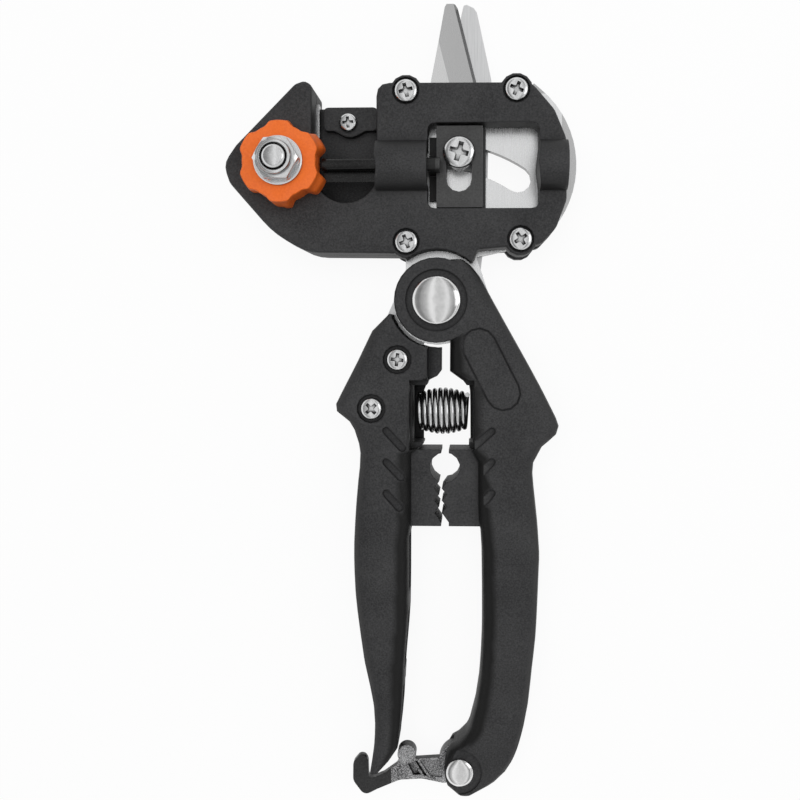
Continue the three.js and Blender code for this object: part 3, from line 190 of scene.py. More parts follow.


# Sharp edges are lightened, partly as wear and partly as a painted highlight
def worn_and_highlit_edges(tree, base, edge, colour, share):
    flat = add(tree, "ShaderNodeNewGeometry")
    soft = add(tree, "ShaderNodeBevel", {"Radius": 2 * edge}, samples=EDGE_SAMPLES)
    likeness = add(tree, "ShaderNodeVectorMath", operation="DOT_PRODUCT")
    link(tree, flat, "Normal", likeness, 0)
    link(tree, soft, "Normal", likeness, 1)
    return mixed(tree, base, remapped(tree, (likeness, "Value"), *WEAR_AND_HIGHLIGHT_LEVELS, 0.0, share), colour)


# Painted shade: corners and recesses are darkened by how closed in they are
def painted_shade_in_corners(tree, base, colour, distance, share):
    shade = add(
        tree, "ShaderNodeAmbientOcclusion", {"Distance": distance}, samples=SHADE_SAMPLES, only_local=True,
    )
    return mixed(tree, base, remapped(tree, (shade, "AO"), *SHADE_LEVELS, share, 0.0), colour)


def surface(
    name, colours, roughness, metallic=0.0, *, grain, bump, depth, edge, specular=0.5, stretch=(1, 1, 1),
    blotch=60.0, contrast=(0.35, 0.65), zones=None, wall_shade=None, inward_shade=None, wear_and_highlight=None, corner_shade=None,
):
    """A material whose colour and roughness vary with a fine grain and a slow blotch, with softened edges.

    zones: rows of colour, share and planes; a plane (a, b, c) keeps what has a x + b y > c.
    wall_shade: colour, low, high and share of painted shade on walls, over how much they face along z.
    inward_shade: colour, way, low, high and share of painted shade on walls that face that way along x.
    wear_and_highlight: colour and share for sharp edges, lightened as wear and as a painted highlight.
    corner_shade: colour, distance and share of painted shade in corners.
    """
    material, tree, shader = new_tree(name)
    shader.inputs["Metallic"].default_value = metallic
    shader.inputs["Specular IOR Level"].default_value = specular
    fine = noise(tree, grain, stretch)
    slow = noise(tree, blotch, detail=2.0)
    both = add(tree, "ShaderNodeMix", {0: BLOTCH_SHARE})
    link(tree, *fine, both, 2)
    link(tree, *slow, both, 3)

    colour = two_tone(tree, (both, 0), contrast, colours)
    if zones:
        colour = zoned(tree, colour, zones)
    if wall_shade:
        colour = shaded_walls(tree, colour, *wall_shade)
    if inward_shade:
        colour = shaded_inward_walls(tree, colour, *inward_shade)
    if wear_and_highlight:
        colour = worn_and_highlit_edges(tree, colour, edge, *wear_and_highlight)
    if corner_shade:
        colour = painted_shade_in_corners(tree, colour, *corner_shade)
    link(tree, *colour, shader, "Base Color")
    link(tree, *remapped(tree, (both, 0), *GRAIN_LEVELS, *roughness), shader, "Roughness")

    soft = add(tree, "ShaderNodeBevel", {"Radius": edge}, samples=EDGE_SAMPLES)
    relief = add(tree, "ShaderNodeBump", {"Strength": bump, "Distance": depth})
    link(tree, *fine, relief, "Height")
    link(tree, soft, "Normal", relief, "Normal")
    link(tree, relief, "Normal", shader, "Normal")
    return material


# Plastics

# Black plastic: painted shade on walls and in corners, and edges lightened as wear and painted highlight
def black(name, inward_shade=None):
    return surface(
        name, [(0.017, 0.017, 0.018), (0.047, 0.047, 0.048)], (0.5, 0.64), specular=0.3, grain=2300,
        bump=0.6, depth=0.0001, edge=0.0008, wear_and_highlight=((0.06, 0.06, 0.062), 0.3),
        corner_shade=(grey(0.003), 0.0035, 0.95), contrast=(0.38, 0.64), wall_shade=(grey(0.008), 0.42, 0.97, 0.9),
        inward_shade=inward_shade,
    )


BLACK = black("black_plastic")
# The handles' copies of the black plastic, with painted shade on their inward walls
LEFT_BLACK_INWARD_SHADE = black("left_handle_plastic_inward_shade", (grey(0.004), 1, 0.06, 0.34, 1.0))
RIGHT_BLACK_INWARD_SHADE = black("right_handle_plastic_inward_shade", (grey(0.004), -1, 0.06, 0.34, 1.0))
# Orange nylon: painted shade on walls and in corners
ORANGE = surface(
    "orange_nylon", [(0.8, 0.138, 0.014), (0.9, 0.18, 0.022)], (0.42, 0.55), specular=0.3, grain=1900,
    bump=0.12, depth=0.00005, edge=0.0003, corner_shade=((0.4, 0.05, 0.005), 0.0015, 0.6),
    wall_shade=((0.6, 0.105, 0.008), 0.2, 0.9, 0.85),
)


# Bright steel

# Steel plates: painted shade on walls
def plate_steel(name, colours, roughness, zones=None):
    return surface(
        name, colours, roughness, 1.0, grain=4200, stretch=(1, 0.025, 1), bump=0.1, depth=0.00002,
        edge=0.0001, wall_shade=(grey(0.1), 0.45, 0.93, 0.95), zones=zones,
    )


FACET_HIGHLIGHT_SIDE = (-1, -0.258, -0.01805)  # left of this line, the left blade gets a painted highlight for its ground facet
ABOVE_COVER = (0, 1, 0.055)
BELOW_COVER_TOP = (0, -1, -0.055)
RIGHT_OF_WINDOW = (1, 0, 0.033)
PLATE = plate_steel("plate_steel", [(0.74, 0.745, 0.75), (0.9, 0.905, 0.91)], (0.28, 0.42))
# The head plate: darker above the cover, a painted highlight on the left blade's ground facet, darker right
# of the window below the cover's top, and painted shade on walls
HEAD_PLATE = plate_steel(
    "head_plate_steel", [(0.88, 0.885, 0.89), (0.975, 0.98, 0.985)], (0.2, 0.32), [
        (grey(0.53), 0.9, [ABOVE_COVER]), (grey(0.8), 0.95, [ABOVE_COVER, FACET_HIGHLIGHT_SIDE]),
        (grey(0.55), 0.85, [BELOW_COVER_TOP, RIGHT_OF_WINDOW]),
    ],
)
BOLT = surface(
    "polished_bolt", [grey(0.76), grey(0.86)], (0.12, 0.2), 1.0, grain=900, bump=0.02, depth=0.00002,
    edge=0.0002, blotch=200,
)
# Zinc: painted shade on walls and in recesses
ZINC = surface(
    "bright_zinc", [(0.74, 0.745, 0.75), (0.88, 0.885, 0.89)], (0.17, 0.28), 1.0, grain=2600, bump=0.05,
    depth=0.00003, edge=0.00012, corner_shade=(grey(0.02), 0.001, 1.0), wall_shade=(grey(0.24), 0.35, 0.9, 0.85),
)

# Dark steel, and the latch's casting
# Left of the slide block, the dark steel is painted near black: painted shade in the pocket at the window's
# left
POCKET_SHADE_SIDE = (-1, 0, 0.0002)
HOOK_END = (-1, 0, 0.0125)
# Dark steel: painted shade on walls, in corners and left of the slide block, and edges lightened as wear and
# painted highlight
OXIDE = surface(
    "black_oxide", [grey(0.036), grey(0.07)], (0.4, 0.52), 0.35, grain=2400, bump=0.15, depth=0.00004,
    edge=0.0003, wear_and_highlight=((0.16, 0.16, 0.165), 0.4), corner_shade=(grey(0.004), 0.002, 0.8),
    wall_shade=(grey(0.014), 0.3, 0.9, 0.8), zones=[(grey(0.012), 0.9, [POCKET_SHADE_SIDE])],
)
# Dark rod: painted shade on walls and in corners
DARK_ROD = surface(
    "dark_rod", [grey(0.014), grey(0.035)], (0.2, 0.32), 0.8, grain=2400, bump=0.08, depth=0.00003,
    edge=0.0002, corner_shade=(grey(0.004), 0.002, 0.8), wall_shade=(grey(0.008), 0.5, 0.97, 0.9),
)
# Casting: painted shade on walls and in corners
CAST = surface(
    "sparkling_cast", [(0.02, 0.02, 0.021), (0.8, 0.8, 0.81)], (0.3, 0.5), 0.7, grain=4700, bump=0.7,
    depth=0.0001, edge=0.0004, corner_shade=(grey(0.006), 0.0012, 0.9), contrast=(0.43, 0.62),
    wall_shade=(grey(0.02), 0.5, 0.97, 1.0), zones=[(grey(0.035), 0.95, [HOOK_END])],
)

SLOT_FINISHES = {
    "black_plastic": BLACK, "plate_steel": PLATE, "polished_bolt": BOLT, "zinc": ZINC,
    "dark_steel": OXIDE, "orange_nylon": ORANGE, "latch_metal": CAST,
}
NODE_FINISHES = {  # nodes that look different from the rest of their slot; the handles by painted shade on their inward walls
    "head_plate": HEAD_PLATE, "left_handle": LEFT_BLACK_INWARD_SHADE, "right_handle": RIGHT_BLACK_INWARD_SHADE,
    "blade_rod": DARK_ROD, "grafting_blade": DARK_ROD,
}


# Smooth shading that leaves the CAD meshes as they are

def smoothing_group():
    group = bpy.data.node_groups.new("smooth_by_angle", "GeometryNodeTree")
    group.interface.new_socket("Geometry", in_out="INPUT", socket_type="NodeSocketGeometry")
    group.interface.new_socket("Geometry", in_out="OUTPUT", socket_type="NodeSocketGeometry")
    start = group.nodes.new("NodeGroupInput")
    end = group.nodes.new("NodeGroupOutput")
    faces = add(group, "GeometryNodeSetShadeSmooth", {"Shade Smooth": True}, domain="FACE")
    edges = add(group, "GeometryNodeSetShadeSmooth", {"Shade Smooth": False}, domain="EDGE")
    angle = add(group, "GeometryNodeInputMeshEdgeAngle")
    sharp = add(group, "FunctionNodeCompare", {1: SOFT_ANGLE}, data_type="FLOAT", operation="GREATER_THAN")
    link(group, start, 0, faces, "Geometry")
    link(group, faces, 0, edges, "Geometry")
    link(group, angle, "Unsigned Angle", sharp, 0)
    link(group, sharp, 0, edges, "Selection")
    link(group, edges, 0, end, 0)
    return group


SMOOTHING = smoothing_group()


def smoothed(obj):
    weld = obj.modifiers.new("weld", "WELD")
    weld.merge_threshold = WELD_GAP
    smooth = obj.modifiers.new("smooth", "NODES")
    smooth.node_group = SMOOTHING
    weighted = obj.modifiers.new("weighted", "WEIGHTED_NORMAL")
    weighted.keep_sharp = True


def dress(obj, finish):
    obj.data.materials.clear()
    obj.data.materials.append(finish)


slots = {row["node"]: row["material_slot"] for row in frame["record"]["subparts"]}
for node, obj in frame["nodes"].items():
    dress(obj, NODE_FINISHES.get(node, SLOT_FINISHES[slots[node]]))
    smoothed(obj)


# Solids made here

def box_of(node):
    """The low and the high corner of a CAD node's box."""
    return [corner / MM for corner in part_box(node)]


def polar(centre, radius, angle, z):
    return Vector((centre[0] + radius * math.cos(angle), centre[1] + radius * math.sin(angle), z))


def around(radius, z, steps=FINE_STEPS, centre=(0, 0)):
    turn = 2 * math.pi / steps
    return [polar(centre, radius, i * turn, z) for i in range(steps)]


def skin(name, rings, looped=False):
    """A closed mesh over rings of as many points each: with end caps, or with its ends joined if looped."""
    count = len(rings[0])
    points = [at * MM for ring in rings for at in ring]
    faces = []
    for i in range(len(rings) if looped else len(rings) - 1):
        j = (i + 1) % len(rings)
        for k in range(count):
            m = (k + 1) % count
            faces.append((i * count + k, i * count + m, j * count + m, j * count + k))
    if not looped:
        faces.append(tuple(reversed(range(count))))
        faces.append(tuple(range(len(points) - count, len(points))))
    mesh = bpy.data.meshes.new(name)
    mesh.from_pydata([tuple(at) for at in points], [], faces)
    shape = bmesh.new()
    shape.from_mesh(mesh)
    bmesh.ops.recalc_face_normals(shape, faces=shape.faces)
    shape.to_mesh(mesh)
    shape.free()
    obj = bpy.data.objects.new(name, mesh)
    bpy.context.scene.collection.objects.link(obj)
    return obj


def turned(name, profile, centre=(0, 0), steps=FINE_STEPS, looped=False):
    return skin(name, [around(radius, z, steps, centre) for radius, z in profile], looped)


def slab(name, outline, low, high):
    return skin(name, [[Vector((at[0], at[1], z)) for at in outline] for z in (low, high)])


def settle(obj):
    """Works obj's modifiers into its mesh."""
    graph = bpy.context.evaluated_depsgraph_get()
    mesh = bpy.data.meshes.new_from_object(obj.evaluated_get(graph))
    obj.modifiers.clear()
    obj.data = mesh


def carved(obj, cutters, operation="DIFFERENCE"):
    """Takes the cutters out of obj's mesh, or joins them to it, and removes them."""
    for cutter in cutters:
        change = obj.modifiers.new("carve", "BOOLEAN")
        change.object = cutter
        change.operation = operation
        change.solver = "EXACT"
    settle(obj)
    for cutter in cutters:
        bpy.data.objects.remove(cutter)
    return obj


def softened(obj, width):
    bevel = obj.modifiers.new("bevel", "BEVEL")
    bevel.width = width * MM
    bevel.segments = 2
    bevel.limit_method = "ANGLE"
    bevel.angle_limit = BEVEL_ANGLE
    settle(obj)


def rounded(corners, steps=6):
    """An outline whose corners (x, y, radius) are rounded, each over at most 0.48 of its two sides."""
    outline = []
    for i, (x, y, radius) in enumerate(corners):
        at = Vector((x, y))
        back = Vector(corners[i - 1][:2]) - at
        forth = Vector(corners[(i + 1) % len(corners)][:2]) - at
        half = back.angle(forth) / 2
        reach = min(radius / math.tan(half), 0.48 * back.length, 0.48 * forth.length)
        start, end = at + back.normalized() * reach, at + forth.normalized() * reach
        for k in range(steps + 1):
            t = k / steps
            outline.append(start * (1 - t) ** 2 + at * (2 * t * (1 - t)) + end * t ** 2)
    return outline


def finished(obj, body, slot, *nodes, finish=None):
    """Dresses obj and puts it on its body in the place of the CAD nodes."""
    dress(obj, finish or SLOT_FINISHES[slot])
    smoothed(obj)
    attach(obj, body)
    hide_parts(*nodes)


# Screws with a cross recess

SCREW_HEAD = [  # shares of the head's radius and thickness
    (0.97, 0), (1, 0.08), (1, 0.42), (0.985, 0.56), (0.94, 0.72), (0.84, 0.86), (0.66, 0.95), (0.2, 1),
]
# Two tapered bars and a square pit: length and width at the top and at the floor as shares of the
# head's radius, and a turn in degrees
CROSS = [(1.36, 0.36, 0.9, 0.22, 0), (1.36, 0.36, 0.9, 0.22, 90), (0.62, 0.62, 0.42, 0.42, 45)]
CROSS_TOP, CROSS_FLOOR = 1.3, 0.2  # heights as shares of the head's thickness
COVER_TURNS = {"cover_screw_1": 14, "cover_screw_2": 68, "cover_screw_3": 20, "cover_screw_4": 32}
SCREWS = [  # turns of the crosses, body, the head's thickness, the shank's radius, the way it faces
    (COVER_TURNS, "head", 1.7, 1.5, 1),
    ({"back_screw_1": 10, "back_screw_2": 52, "back_screw_3": 33}, "head", 2, 1.5, -1),
    ({"right_handle_screw_1": 24, "right_handle_screw_2": 71}, "head", 1.9, 1.6, -1),
    ({"left_handle_screw_1": 84, "left_handle_screw_2": 42}, "lever", 1.9, 1.6, 1),
    ({"stop_plate_screw": 4}, "head", 1.3, 1.3, 1),
    ({"drive_screw": 74}, "lever", 2.2, 2.7, 1),
]


def cross_cutters(radius, thick, turn):
    cutters = []
    for long_top, wide_top, long_low, wide_low, extra in CROSS:
        spin = Matrix.Rotation(math.radians(turn + extra), 4, "Z")
        floor_ring = (long_low, wide_low, thick * CROSS_FLOOR)
        top_ring = (long_top, wide_top, thick * CROSS_TOP)
        rings = []
        for long, wide, z in (floor_ring, top_ring):
            a, b = long * radius / 2, wide * radius / 2
            corners = [(-a, -b), (a, -b), (a, b), (-a, b)]
            rings.append([spin @ Vector((x, y, z)) for x, y in corners])
        cutters.append(skin("cross", rings))
    return cutters


def screw(node, body, thick, shank, turn, facing):
    low, high = box_of(node)
    centre = (low + high) / 2
    radius = (high.x - low.x) / 2
    length = high.z - low.z - thick
    profile = [(shank * 0.7, -length), (shank, -length + shank * 0.3), (shank, 0)]
    profile += [(radius * out, thick * up) for out, up in SCREW_HEAD]
    piece = carved(turned(node + "_fine", profile), cross_cutters(radius, thick, turn))
    seat = high.z - thick if facing > 0 else low.z + thick
    flip = Matrix.Rotation(0 if facing > 0 else math.pi, 4, "X")
    piece.data.transform(Matrix.Translation(Vector((centre.x, centre.y, seat)) * MM) @ flip)
    finished(piece, body, "zinc", node)


for turns, body, thick, shank, facing in SCREWS:
    for node, turn in turns.items():
        screw(node, body, thick, shank, turn, facing)


# Pivot bolt, its dome turned fine

def pivot_bolt():
    low, high = box_of("pivot_bolt")
    head, rim, dome, shank = (high.x - low.x) / 2, 1.1, 2.6, 3.9
    seat = high.z - dome
    profile = [(shank * 0.9, low.z), (shank, low.z + 0.4), (shank, seat)]
    profile += [(head * 0.97, seat), (head, seat + 0.25)]
    steps = 14
    for i in range(steps):
        angle = math.pi / 2 * i / steps
        profile.append((head * math.cos(angle), seat + rim + (dome - rim) * math.sin(angle)))
    piece = turned("pivot_bolt_fine", profile, steps=2 * FINE_STEPS)
    finished(piece, "head", "polished_bolt", "pivot_bolt")


pivot_bolt()


# The orange wheel with its scalloped rim, and what holds it

ANVIL = (-39.6, 34.8)
WHEEL_BORE = 3.35
WHEEL_STEPS = 180
LOBES = 6
BACK_RIM = (9.4, 2.3, 0.28, 0.8)  # root, height of the lobes, where the notches' sides start and end
FRONT_RIM = (9.4, 0.95, 0.08, 0.7)
FAR_LOBES = 0.55  # height of the back rim's lobes away from the blade, of those towards it
WHEEL_LEVELS = [  # share of the thickness, what is added to it, share of the back rim, and draw-in
    (0, 0, 0.9, -0.15), (0, 0.3, 1, 0), (0.45, 0, 1, 0), (0.55, 0, 0.92, 0), (0.66, 0, 0.6, 0),
    (0.78, 0, 0.22, 0), (1, -0.8, 0.04, 0), (1, -0.25, 0, -0.05), (1, -0.06, 0, -0.2), (1, 0, 0, -0.45),
]
FASTENER_BORE = 3.3
NUT = {"wide": 10, "collar": 4.25, "collar_thick": 1.5, "chamfer": math.radians(35)}
ANVIL_BOLT = {"radius": 3, "head": 5.4, "seat": 2.7, "thread": 26.6, "turns": 6, "pitch": 1, "depth": 0.32}


def rim_radius(angle, rim, share=1):
    """The root in the notches and the lobes' full height, or a share of it, in between."""
    root, deep, start, end = rim
    wave = (1 - math.cos(LOBES * angle)) / 2
    t = min(max((wave - start) / (end - start), 0), 1)
    rise = t * t * (3 - 2 * t)
    return root + deep * share * rise


def anvil_wheel():
    low, high = box_of("anvil_wheel")
    thick = high.z - low.z
    rings = []
    for level, lift, back_share, draw in WHEEL_LEVELS:
        ring = []
        for i in range(WHEEL_STEPS):
            angle = 2 * math.pi * i / WHEEL_STEPS
            reach = FAR_LOBES + (1 - FAR_LOBES) * math.sqrt(max(math.cos(angle), 0))
            back = rim_radius(angle, BACK_RIM, reach)
            front = rim_radius(angle, FRONT_RIM)
            radius = draw + back_share * back + (1 - back_share) * front
            ring.append(polar(ANVIL, radius, angle, low.z + (thick * level + lift)))
        rings.append(ring)
    for z in (thick, 0):
        rings.append(around(WHEEL_BORE, low.z + z, WHEEL_STEPS, ANVIL))
    finished(skin("anvil_wheel_fine", rings, looped=True), "anvil", "orange_nylon", "anvil_wheel")


def anvil_washer():
    low, high = box_of("anvil_washer")
    outer, bore = (high.x - low.x) / 2, FASTENER_BORE
    profile = [
        (bore, low.z + 0.1), (bore + 0.1, low.z), (outer - 0.15, low.z), (outer, low.z + 0.2),
        (outer, high.z - 0.3), (outer - 0.3, high.z), (bore + 0.1, high.z), (bore, high.z - 0.1),
    ]
    piece = turned("anvil_washer_fine", profile, ANVIL, looped=True)
    finished(piece, "head", "zinc", "anvil_washer")


def anvil_nut():
    """A hexagon with chamfered corners and a locking collar."""
    low, high = box_of("anvil_nut")
    wide, collar, collar_thick, chamfer = NUT.values()
    bore, flat, top, side = FASTENER_BORE, wide / 2, high.z - collar_thick, math.pi / 3
    rings = [around(radius, low.z, centre=ANVIL) for radius in (bore, flat * 0.97)]
    for end, lift in ((low.z, 1), (top, -1)):
        ring = []
        for i in range(FINE_STEPS):
            angle = 2 * math.pi * i / FINE_STEPS
            from_middle = angle % side - side / 2  # of the flat that is at this angle
            radius = flat / math.cos(from_middle)
            drop = (radius - flat) * math.tan(chamfer) + 0.06
            ring.append(polar(ANVIL, radius, angle, end + lift * drop))
        rings.append(ring)
    profile = [
        (flat * 0.95, top), (collar + 0.15, top), (collar, top + 0.2), (collar, high.z - 0.45),
        (collar - 0.15, high.z - 0.12), (collar - 0.5, high.z), (bore + 0.2, high.z), (bore, high.z - 0.25),
    ]
    rings += [around(radius, z, centre=ANVIL) for radius, z in profile]
    finished(skin("anvil_nut_fine", rings, looped=True), "head", "zinc", "anvil_nut")


def anvil_bolt():
    low, high = box_of("anvil_bolt")
    radius, head, seat, thread, turns, pitch, depth = ANVIL_BOLT.values()
    profile = [(head * 0.9, low.z), (head, low.z + 0.4), (head, seat), (radius, seat)]
    profile.append((radius, thread - 0.2))
    for i in range(turns * 2):
        z = min(thread + i * pitch / 2, high.z - 1)
        profile.append((radius - (depth if i % 2 else 0.02), z))
    profile += [(radius - 0.1, high.z - 0.75), (radius - 0.5, high.z - 0.15), (radius - 0.75, high.z - 0.03)]
    profile.append((0.4, high.z))
    finished(turned("anvil_bolt_fine", profile, ANVIL), "head", "zinc", "anvil_bolt")


anvil_wheel()
anvil_washer()
anvil_nut()
anvil_bolt()


# Return spring: one wire in a barrel-shaped coil between the handles

SPRING = {
    "y": -29.5, "z": 9.25, "left": -5.1, "curls": 9, "pitch": 1.46, "wire": 1.3, "ends": 4.3, "middle": 5.7,
}
CURL_STEPS = 32
WIRE_SIDES = 12


def return_spring():
    y, z, left, curls, pitch, wire, ends, middle = SPRING.values()
    steps = curls * CURL_STEPS
    line = []
    for i in range(steps + 1):
        t = i / steps
        radius = ends + (middle - ends) * math.sin(math.pi * t)
        angle = t * curls * 2 * math.pi
        x = left + t * curls * pitch
        line.append(Vector((x, y + radius * math.cos(angle), z + radius * math.sin(angle))))
    rings = []
    for i, at in enumerate(line):
        along = (line[min(i + 1, steps)] - line[max(i - 1, 0)]).normalized()
        outward = Vector((0, at.y - y, at.z - z)).normalized()
        across = along.cross(outward).normalized()
        up = across.cross(along).normalized()
        ring = []
        for k in range(WIRE_SIDES):
            angle = 2 * math.pi * k / WIRE_SIDES
            ring.append(at + (up * math.cos(angle) + across * math.sin(angle)) * (wire / 2))
        rings.append(ring)
    piece = skin("return_spring_fine", rings)
    dress(piece, ZINC)
    smoothed(piece)
    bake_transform(piece)
    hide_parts("return_spring")


return_spring()


# Latch: a casting with a recessed face, a slanted rib and a thumb knob

GRIP = 100  # the grips' length
LATCH_SHARES = [  # corners and their radii, as shares of that length
    (0.03, -1.236, 0.01), (-0.06, -1.243, 0.006), (-0.062, -1.23, 0.004), (-0.1, -1.23, 0.006),
    (-0.108, -1.258, 0.02), (-0.145, -1.285, 0.03), (-0.186, -1.302, 0.012), (-0.188, -1.25, 0.02),
    (-0.195, -1.236, 0.02), (-0.211, -1.234, 0.02), (-0.2285, -1.255, 0.02), (-0.229, -1.305, 0.03),
    (-0.198, -1.346, 0.022), (-0.164, -1.328, 0.02), (-0.102, -1.301, 0.04), (-0.04, -1.297, 0.03),
    (0.018, -1.308, 0.02), (0.062, -1.3, 0.01),
]
LATCH_CUTS = [  # outlines and depths of the sunk places: two beside the rib, then the field
    ([(-8.2, -125.2), (-6.9, -124.9), (-4.3, -128.6), (-6.4, -128.7)], 1.2),
    ([(-6, -124.8), (-5.4, -124.8), (-2.6, -128.9), (-3.4, -128.9)], 1),
    ([(-4.6, -124.8), (1, -124.6), (1.4, -129.3), (-1.8, -128.9)], 0.3),
]
LATCH_THICK = 2
LATCH_EDGE = 0.35
LATCH_PIVOT = (6.2, -125.3)
LATCH_BOSS, LATCH_BORE = 5.7, 2.3  # radii
KNOB = (-8.1, -122.2)
KNOB_RADIUS = 2.5
KNOB_STICK, KNOB_SUNK = 2, 1.4  # how far the knob stands out of the face, and how far it goes in
CUT_MARGIN = 2  # how far cutters stand out of the solid
# Shares of the rivet's head radius, and depths below its top
RIVET_DOME = [(0.98, 1.2), (1, 1), (0.99, 0.62), (0.9, 0.3), (0.72, 0.1), (0.5, 0.02), (0.1, 0)]


def latch():
    low, high = box_of("latch")
    face = high.z - KNOB_STICK
    over = face + CUT_MARGIN
    outline = rounded([(x * GRIP, y * GRIP, r * GRIP) for x, y, r in LATCH_SHARES])
    body = slab("latch_fine", outline, face - LATCH_THICK, face)
    boss = turned("boss", [(LATCH_BOSS, low.z), (LATCH_BOSS, face)], LATCH_PIVOT)
    knob = turned("knob", [(KNOB_RADIUS, face - KNOB_SUNK), (KNOB_RADIUS, high.z)], KNOB)
    carved(body, [boss, knob], "UNION")
    bore = turned("bore", [(LATCH_BORE, low.z - CUT_MARGIN), (LATCH_BORE, over)], LATCH_PIVOT)
    sunk = [slab("sunk", corners, face - deep, over) for corners, deep in LATCH_CUTS]
    carved(body, [bore, *sunk])
    softened(body, LATCH_EDGE)
    finished(body, "latch", "latch_metal", "latch")


def latch_rivet():
    low, high = box_of("latch_rivet")
    head, shank, back, front = (high.x - low.x) / 2, 2, 0.6, 1.2
    profile = [(head * 0.95, low.z), (head, low.z + 0.15), (head, low.z + back), (shank, low.z + back)]
    profile.append((shank, high.z - front))
    profile += [(head * out, high.z - down) for out, down in RIVET_DOME]
    piece = turned("latch_rivet_fine", profile, LATCH_PIVOT)
    finished(piece, "head", "zinc", "latch_rivet", finish=BOLT)


latch()
latch_rivet()


# Stage: a white floor that keeps the shadow, a dome that only reflections see, lamps and the camera

FLOOR_HALF, FLOOR_DROP = 2.0, 0.0001
FLOOR_WHITE = 0.9
FLOOR_SHADOW = 0.08  # share of the lit floor in what the camera sees of it
WORLD_LIGHT = 0.34
DOME_RADIUS = 1.5
DOME_BANDS = [  # strips over the dome's top from left to right, with their brightness
    (0.0, 0.9), (0.14, 0.3), (0.3, 0.22), (0.36, 0.4), (0.42, 0.56), (0.44, 1.0), (0.465, 1.0),
    (0.485, 0.64), (0.54, 0.66), (0.565, 0.88), (0.59, 0.88), (0.62, 0.5), (0.7, 0.3), (0.79, 0.25),
    (0.84, 1.0), (0.9, 1.0), (1.0, 0.4),
]
DOME_REACH = 1.5  # how far the strips reach sideways, over their height
DOME_LOWEST = 0.35  # below this height the strips keep their place
DOME_WHITE = (0.3, 0.75)  # heights of all white, and of strips alone
LAMPS = [  # name, place, size, power, and whether reflections see it
    ("top", (0.05, 0.1, 1.0), (0.8, 0.8), 4.0, False),
    ("key", (-0.2, 0.12, 0.9), (0.5, 0.5), 1.7, False),
    ("fill", (0.6, 0.1, 0.45), (0.4, 0.6), 0.8, True),
]
CAMERA_PLACE = (0.00923, -0.00897, 0.2604)
CAMERA_TURN = (-0.0272, 0.0342, 0.0011)
CAMERA_LENS = 41.92
CAMERA_SHIFT = -0.05


def light_path_mix(tree, plain, seen):
    """plain for the light itself, seen for what the camera and clear or glossy surfaces see."""
    path = add(tree, "ShaderNodeLightPath")
    most = maths(tree, "MAXIMUM", (path, "Is Camera Ray"), (path, "Is Glossy Ray"))
    every = maths(tree, "MAXIMUM", most, (path, "Is Transmission Ray"))
    mix = add(tree, "ShaderNodeMixShader")
    link(tree, *every, mix, 0)
    link(tree, plain, 0, mix, 1)
    link(tree, seen, 0, mix, 2)
    return mix


def floor():
    half, z = FLOOR_HALF, -FLOOR_DROP
    mesh = bpy.data.meshes.new("floor")
    corners = [(-half, -half, z), (half, -half, z), (half, half, z), (-half, half, z)]
    mesh.from_pydata(corners, [], [(0, 1, 2, 3)])
    obj = bpy.data.objects.new("floor", mesh)
    bpy.context.scene.collection.objects.link(obj)
    material, tree, shader = new_tree("white_floor")
    tree.nodes.remove(shader)
    matt = add(tree, "ShaderNodeBsdfDiffuse", {"Color": (*grey(FLOOR_WHITE), 1)})
    glow = add(tree, "ShaderNodeEmission", {"Color": WHITE, "Strength": 1.0})
    both = add(tree, "ShaderNodeMixShader", {0: FLOOR_SHADOW})
    link(tree, glow, 0, both, 1)
    link(tree, matt, 0, both, 2)
    link(tree, light_path_mix(tree, matt, both), 0, tree.nodes["Material Output"], "Surface")
    mesh.materials.append(material)


def world():
    scene = bpy.context.scene
    scene.world = bpy.data.worlds.new("studio")
    scene.world.use_nodes = True
    tree = scene.world.node_tree
    plain = tree.nodes["Background"]
    plain.inputs["Strength"].default_value = WORLD_LIGHT
    plain.inputs["Color"].default_value = WHITE
    seen = add(tree, "ShaderNodeBackground", {"Color": WHITE, "Strength": 1.0})
    link(tree, light_path_mix(tree, plain, seen), 0, tree.nodes["World Output"], "Surface")


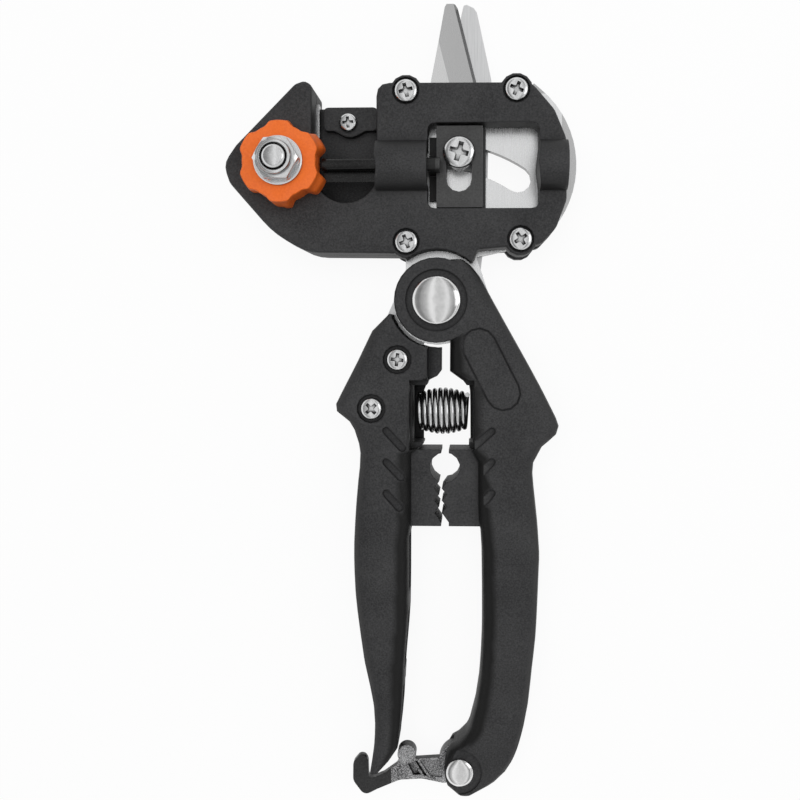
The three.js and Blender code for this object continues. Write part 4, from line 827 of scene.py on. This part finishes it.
def dome_light():
    """Strips of light overhead that run along y, and white near the floor."""
    material, tree, shader = new_tree("dome_light")
    tree.nodes.remove(shader)
    place = separated(tree, "Object")
    high = maths(tree, "MAXIMUM", (place, "Z"), DOME_LOWEST)
    across = maths(tree, "DIVIDE", (place, "X"), high)
    strips = add(tree, "ShaderNodeValToRGB")
    strips.color_ramp.interpolation = "EASE"
    link(tree, *remapped(tree, across, -DOME_REACH, DOME_REACH, 0.0, 1.0), strips, 0)
    elements = strips.color_ramp.elements
    for element, (at, level) in ((elements[0], DOME_BANDS[0]), (elements[1], DOME_BANDS[-1])):
        element.position, element.color = at, (*grey(level), 1)
    for at, level in DOME_BANDS[1:-1]:
        elements.new(at).color = (*grey(level), 1)
    low_down = remapped(tree, (place, "Z"), *DOME_WHITE, 1.0, 0.0)
    glow = add(tree, "ShaderNodeEmission", {"Strength": 1.0})
    link(tree, *mixed(tree, (strips, "Color"), low_down, grey(1)), glow, "Color")
    link(tree, glow, 0, tree.nodes["Material Output"], "Surface")
    return material


def reflection_dome():
    """A dome that lights nothing and shows in reflections alone."""
    shape = bmesh.new()
    bmesh.ops.create_uvsphere(shape, u_segments=48, v_segments=24, radius=DOME_RADIUS)
    mesh = bpy.data.meshes.new("dome")
    shape.to_mesh(mesh)
    shape.free()
    obj = bpy.data.objects.new("dome", mesh)
    bpy.context.scene.collection.objects.link(obj)
    obj.visible_camera = False
    obj.visible_diffuse = False
    obj.visible_shadow = False
    obj.visible_transmission = False
    obj.visible_volume_scatter = False
    mesh.materials.append(dome_light())


def lamp(name, place, size, power, glints):
    data = bpy.data.lights.new(name, "AREA")
    data.shape = "RECTANGLE"
    data.size, data.size_y = size
    data.energy = power
    obj = bpy.data.objects.new(name, data)
    bpy.context.scene.collection.objects.link(obj)
    obj.location = place
    obj.rotation_mode = "QUATERNION"
    obj.rotation_quaternion = (-Vector(place)).to_track_quat("-Z", "Y")
    obj.visible_glossy = glints


def camera():
    data = bpy.data.cameras.new("camera")
    data.sensor_width = 36
    data.lens = CAMERA_LENS
    data.shift_x = data.shift_y = CAMERA_SHIFT
    data.clip_start, data.clip_end = 0.01, 10
    obj = bpy.data.objects.new("camera", data)
    bpy.context.scene.collection.objects.link(obj)
    obj.location = CAMERA_PLACE
    obj.rotation_euler = CAMERA_TURN
    bpy.context.scene.camera = obj


floor()
world()
reflection_dome()
for row in LAMPS:
    lamp(*row)
camera()
bpy.context.scene.view_settings.view_transform = "Standard"
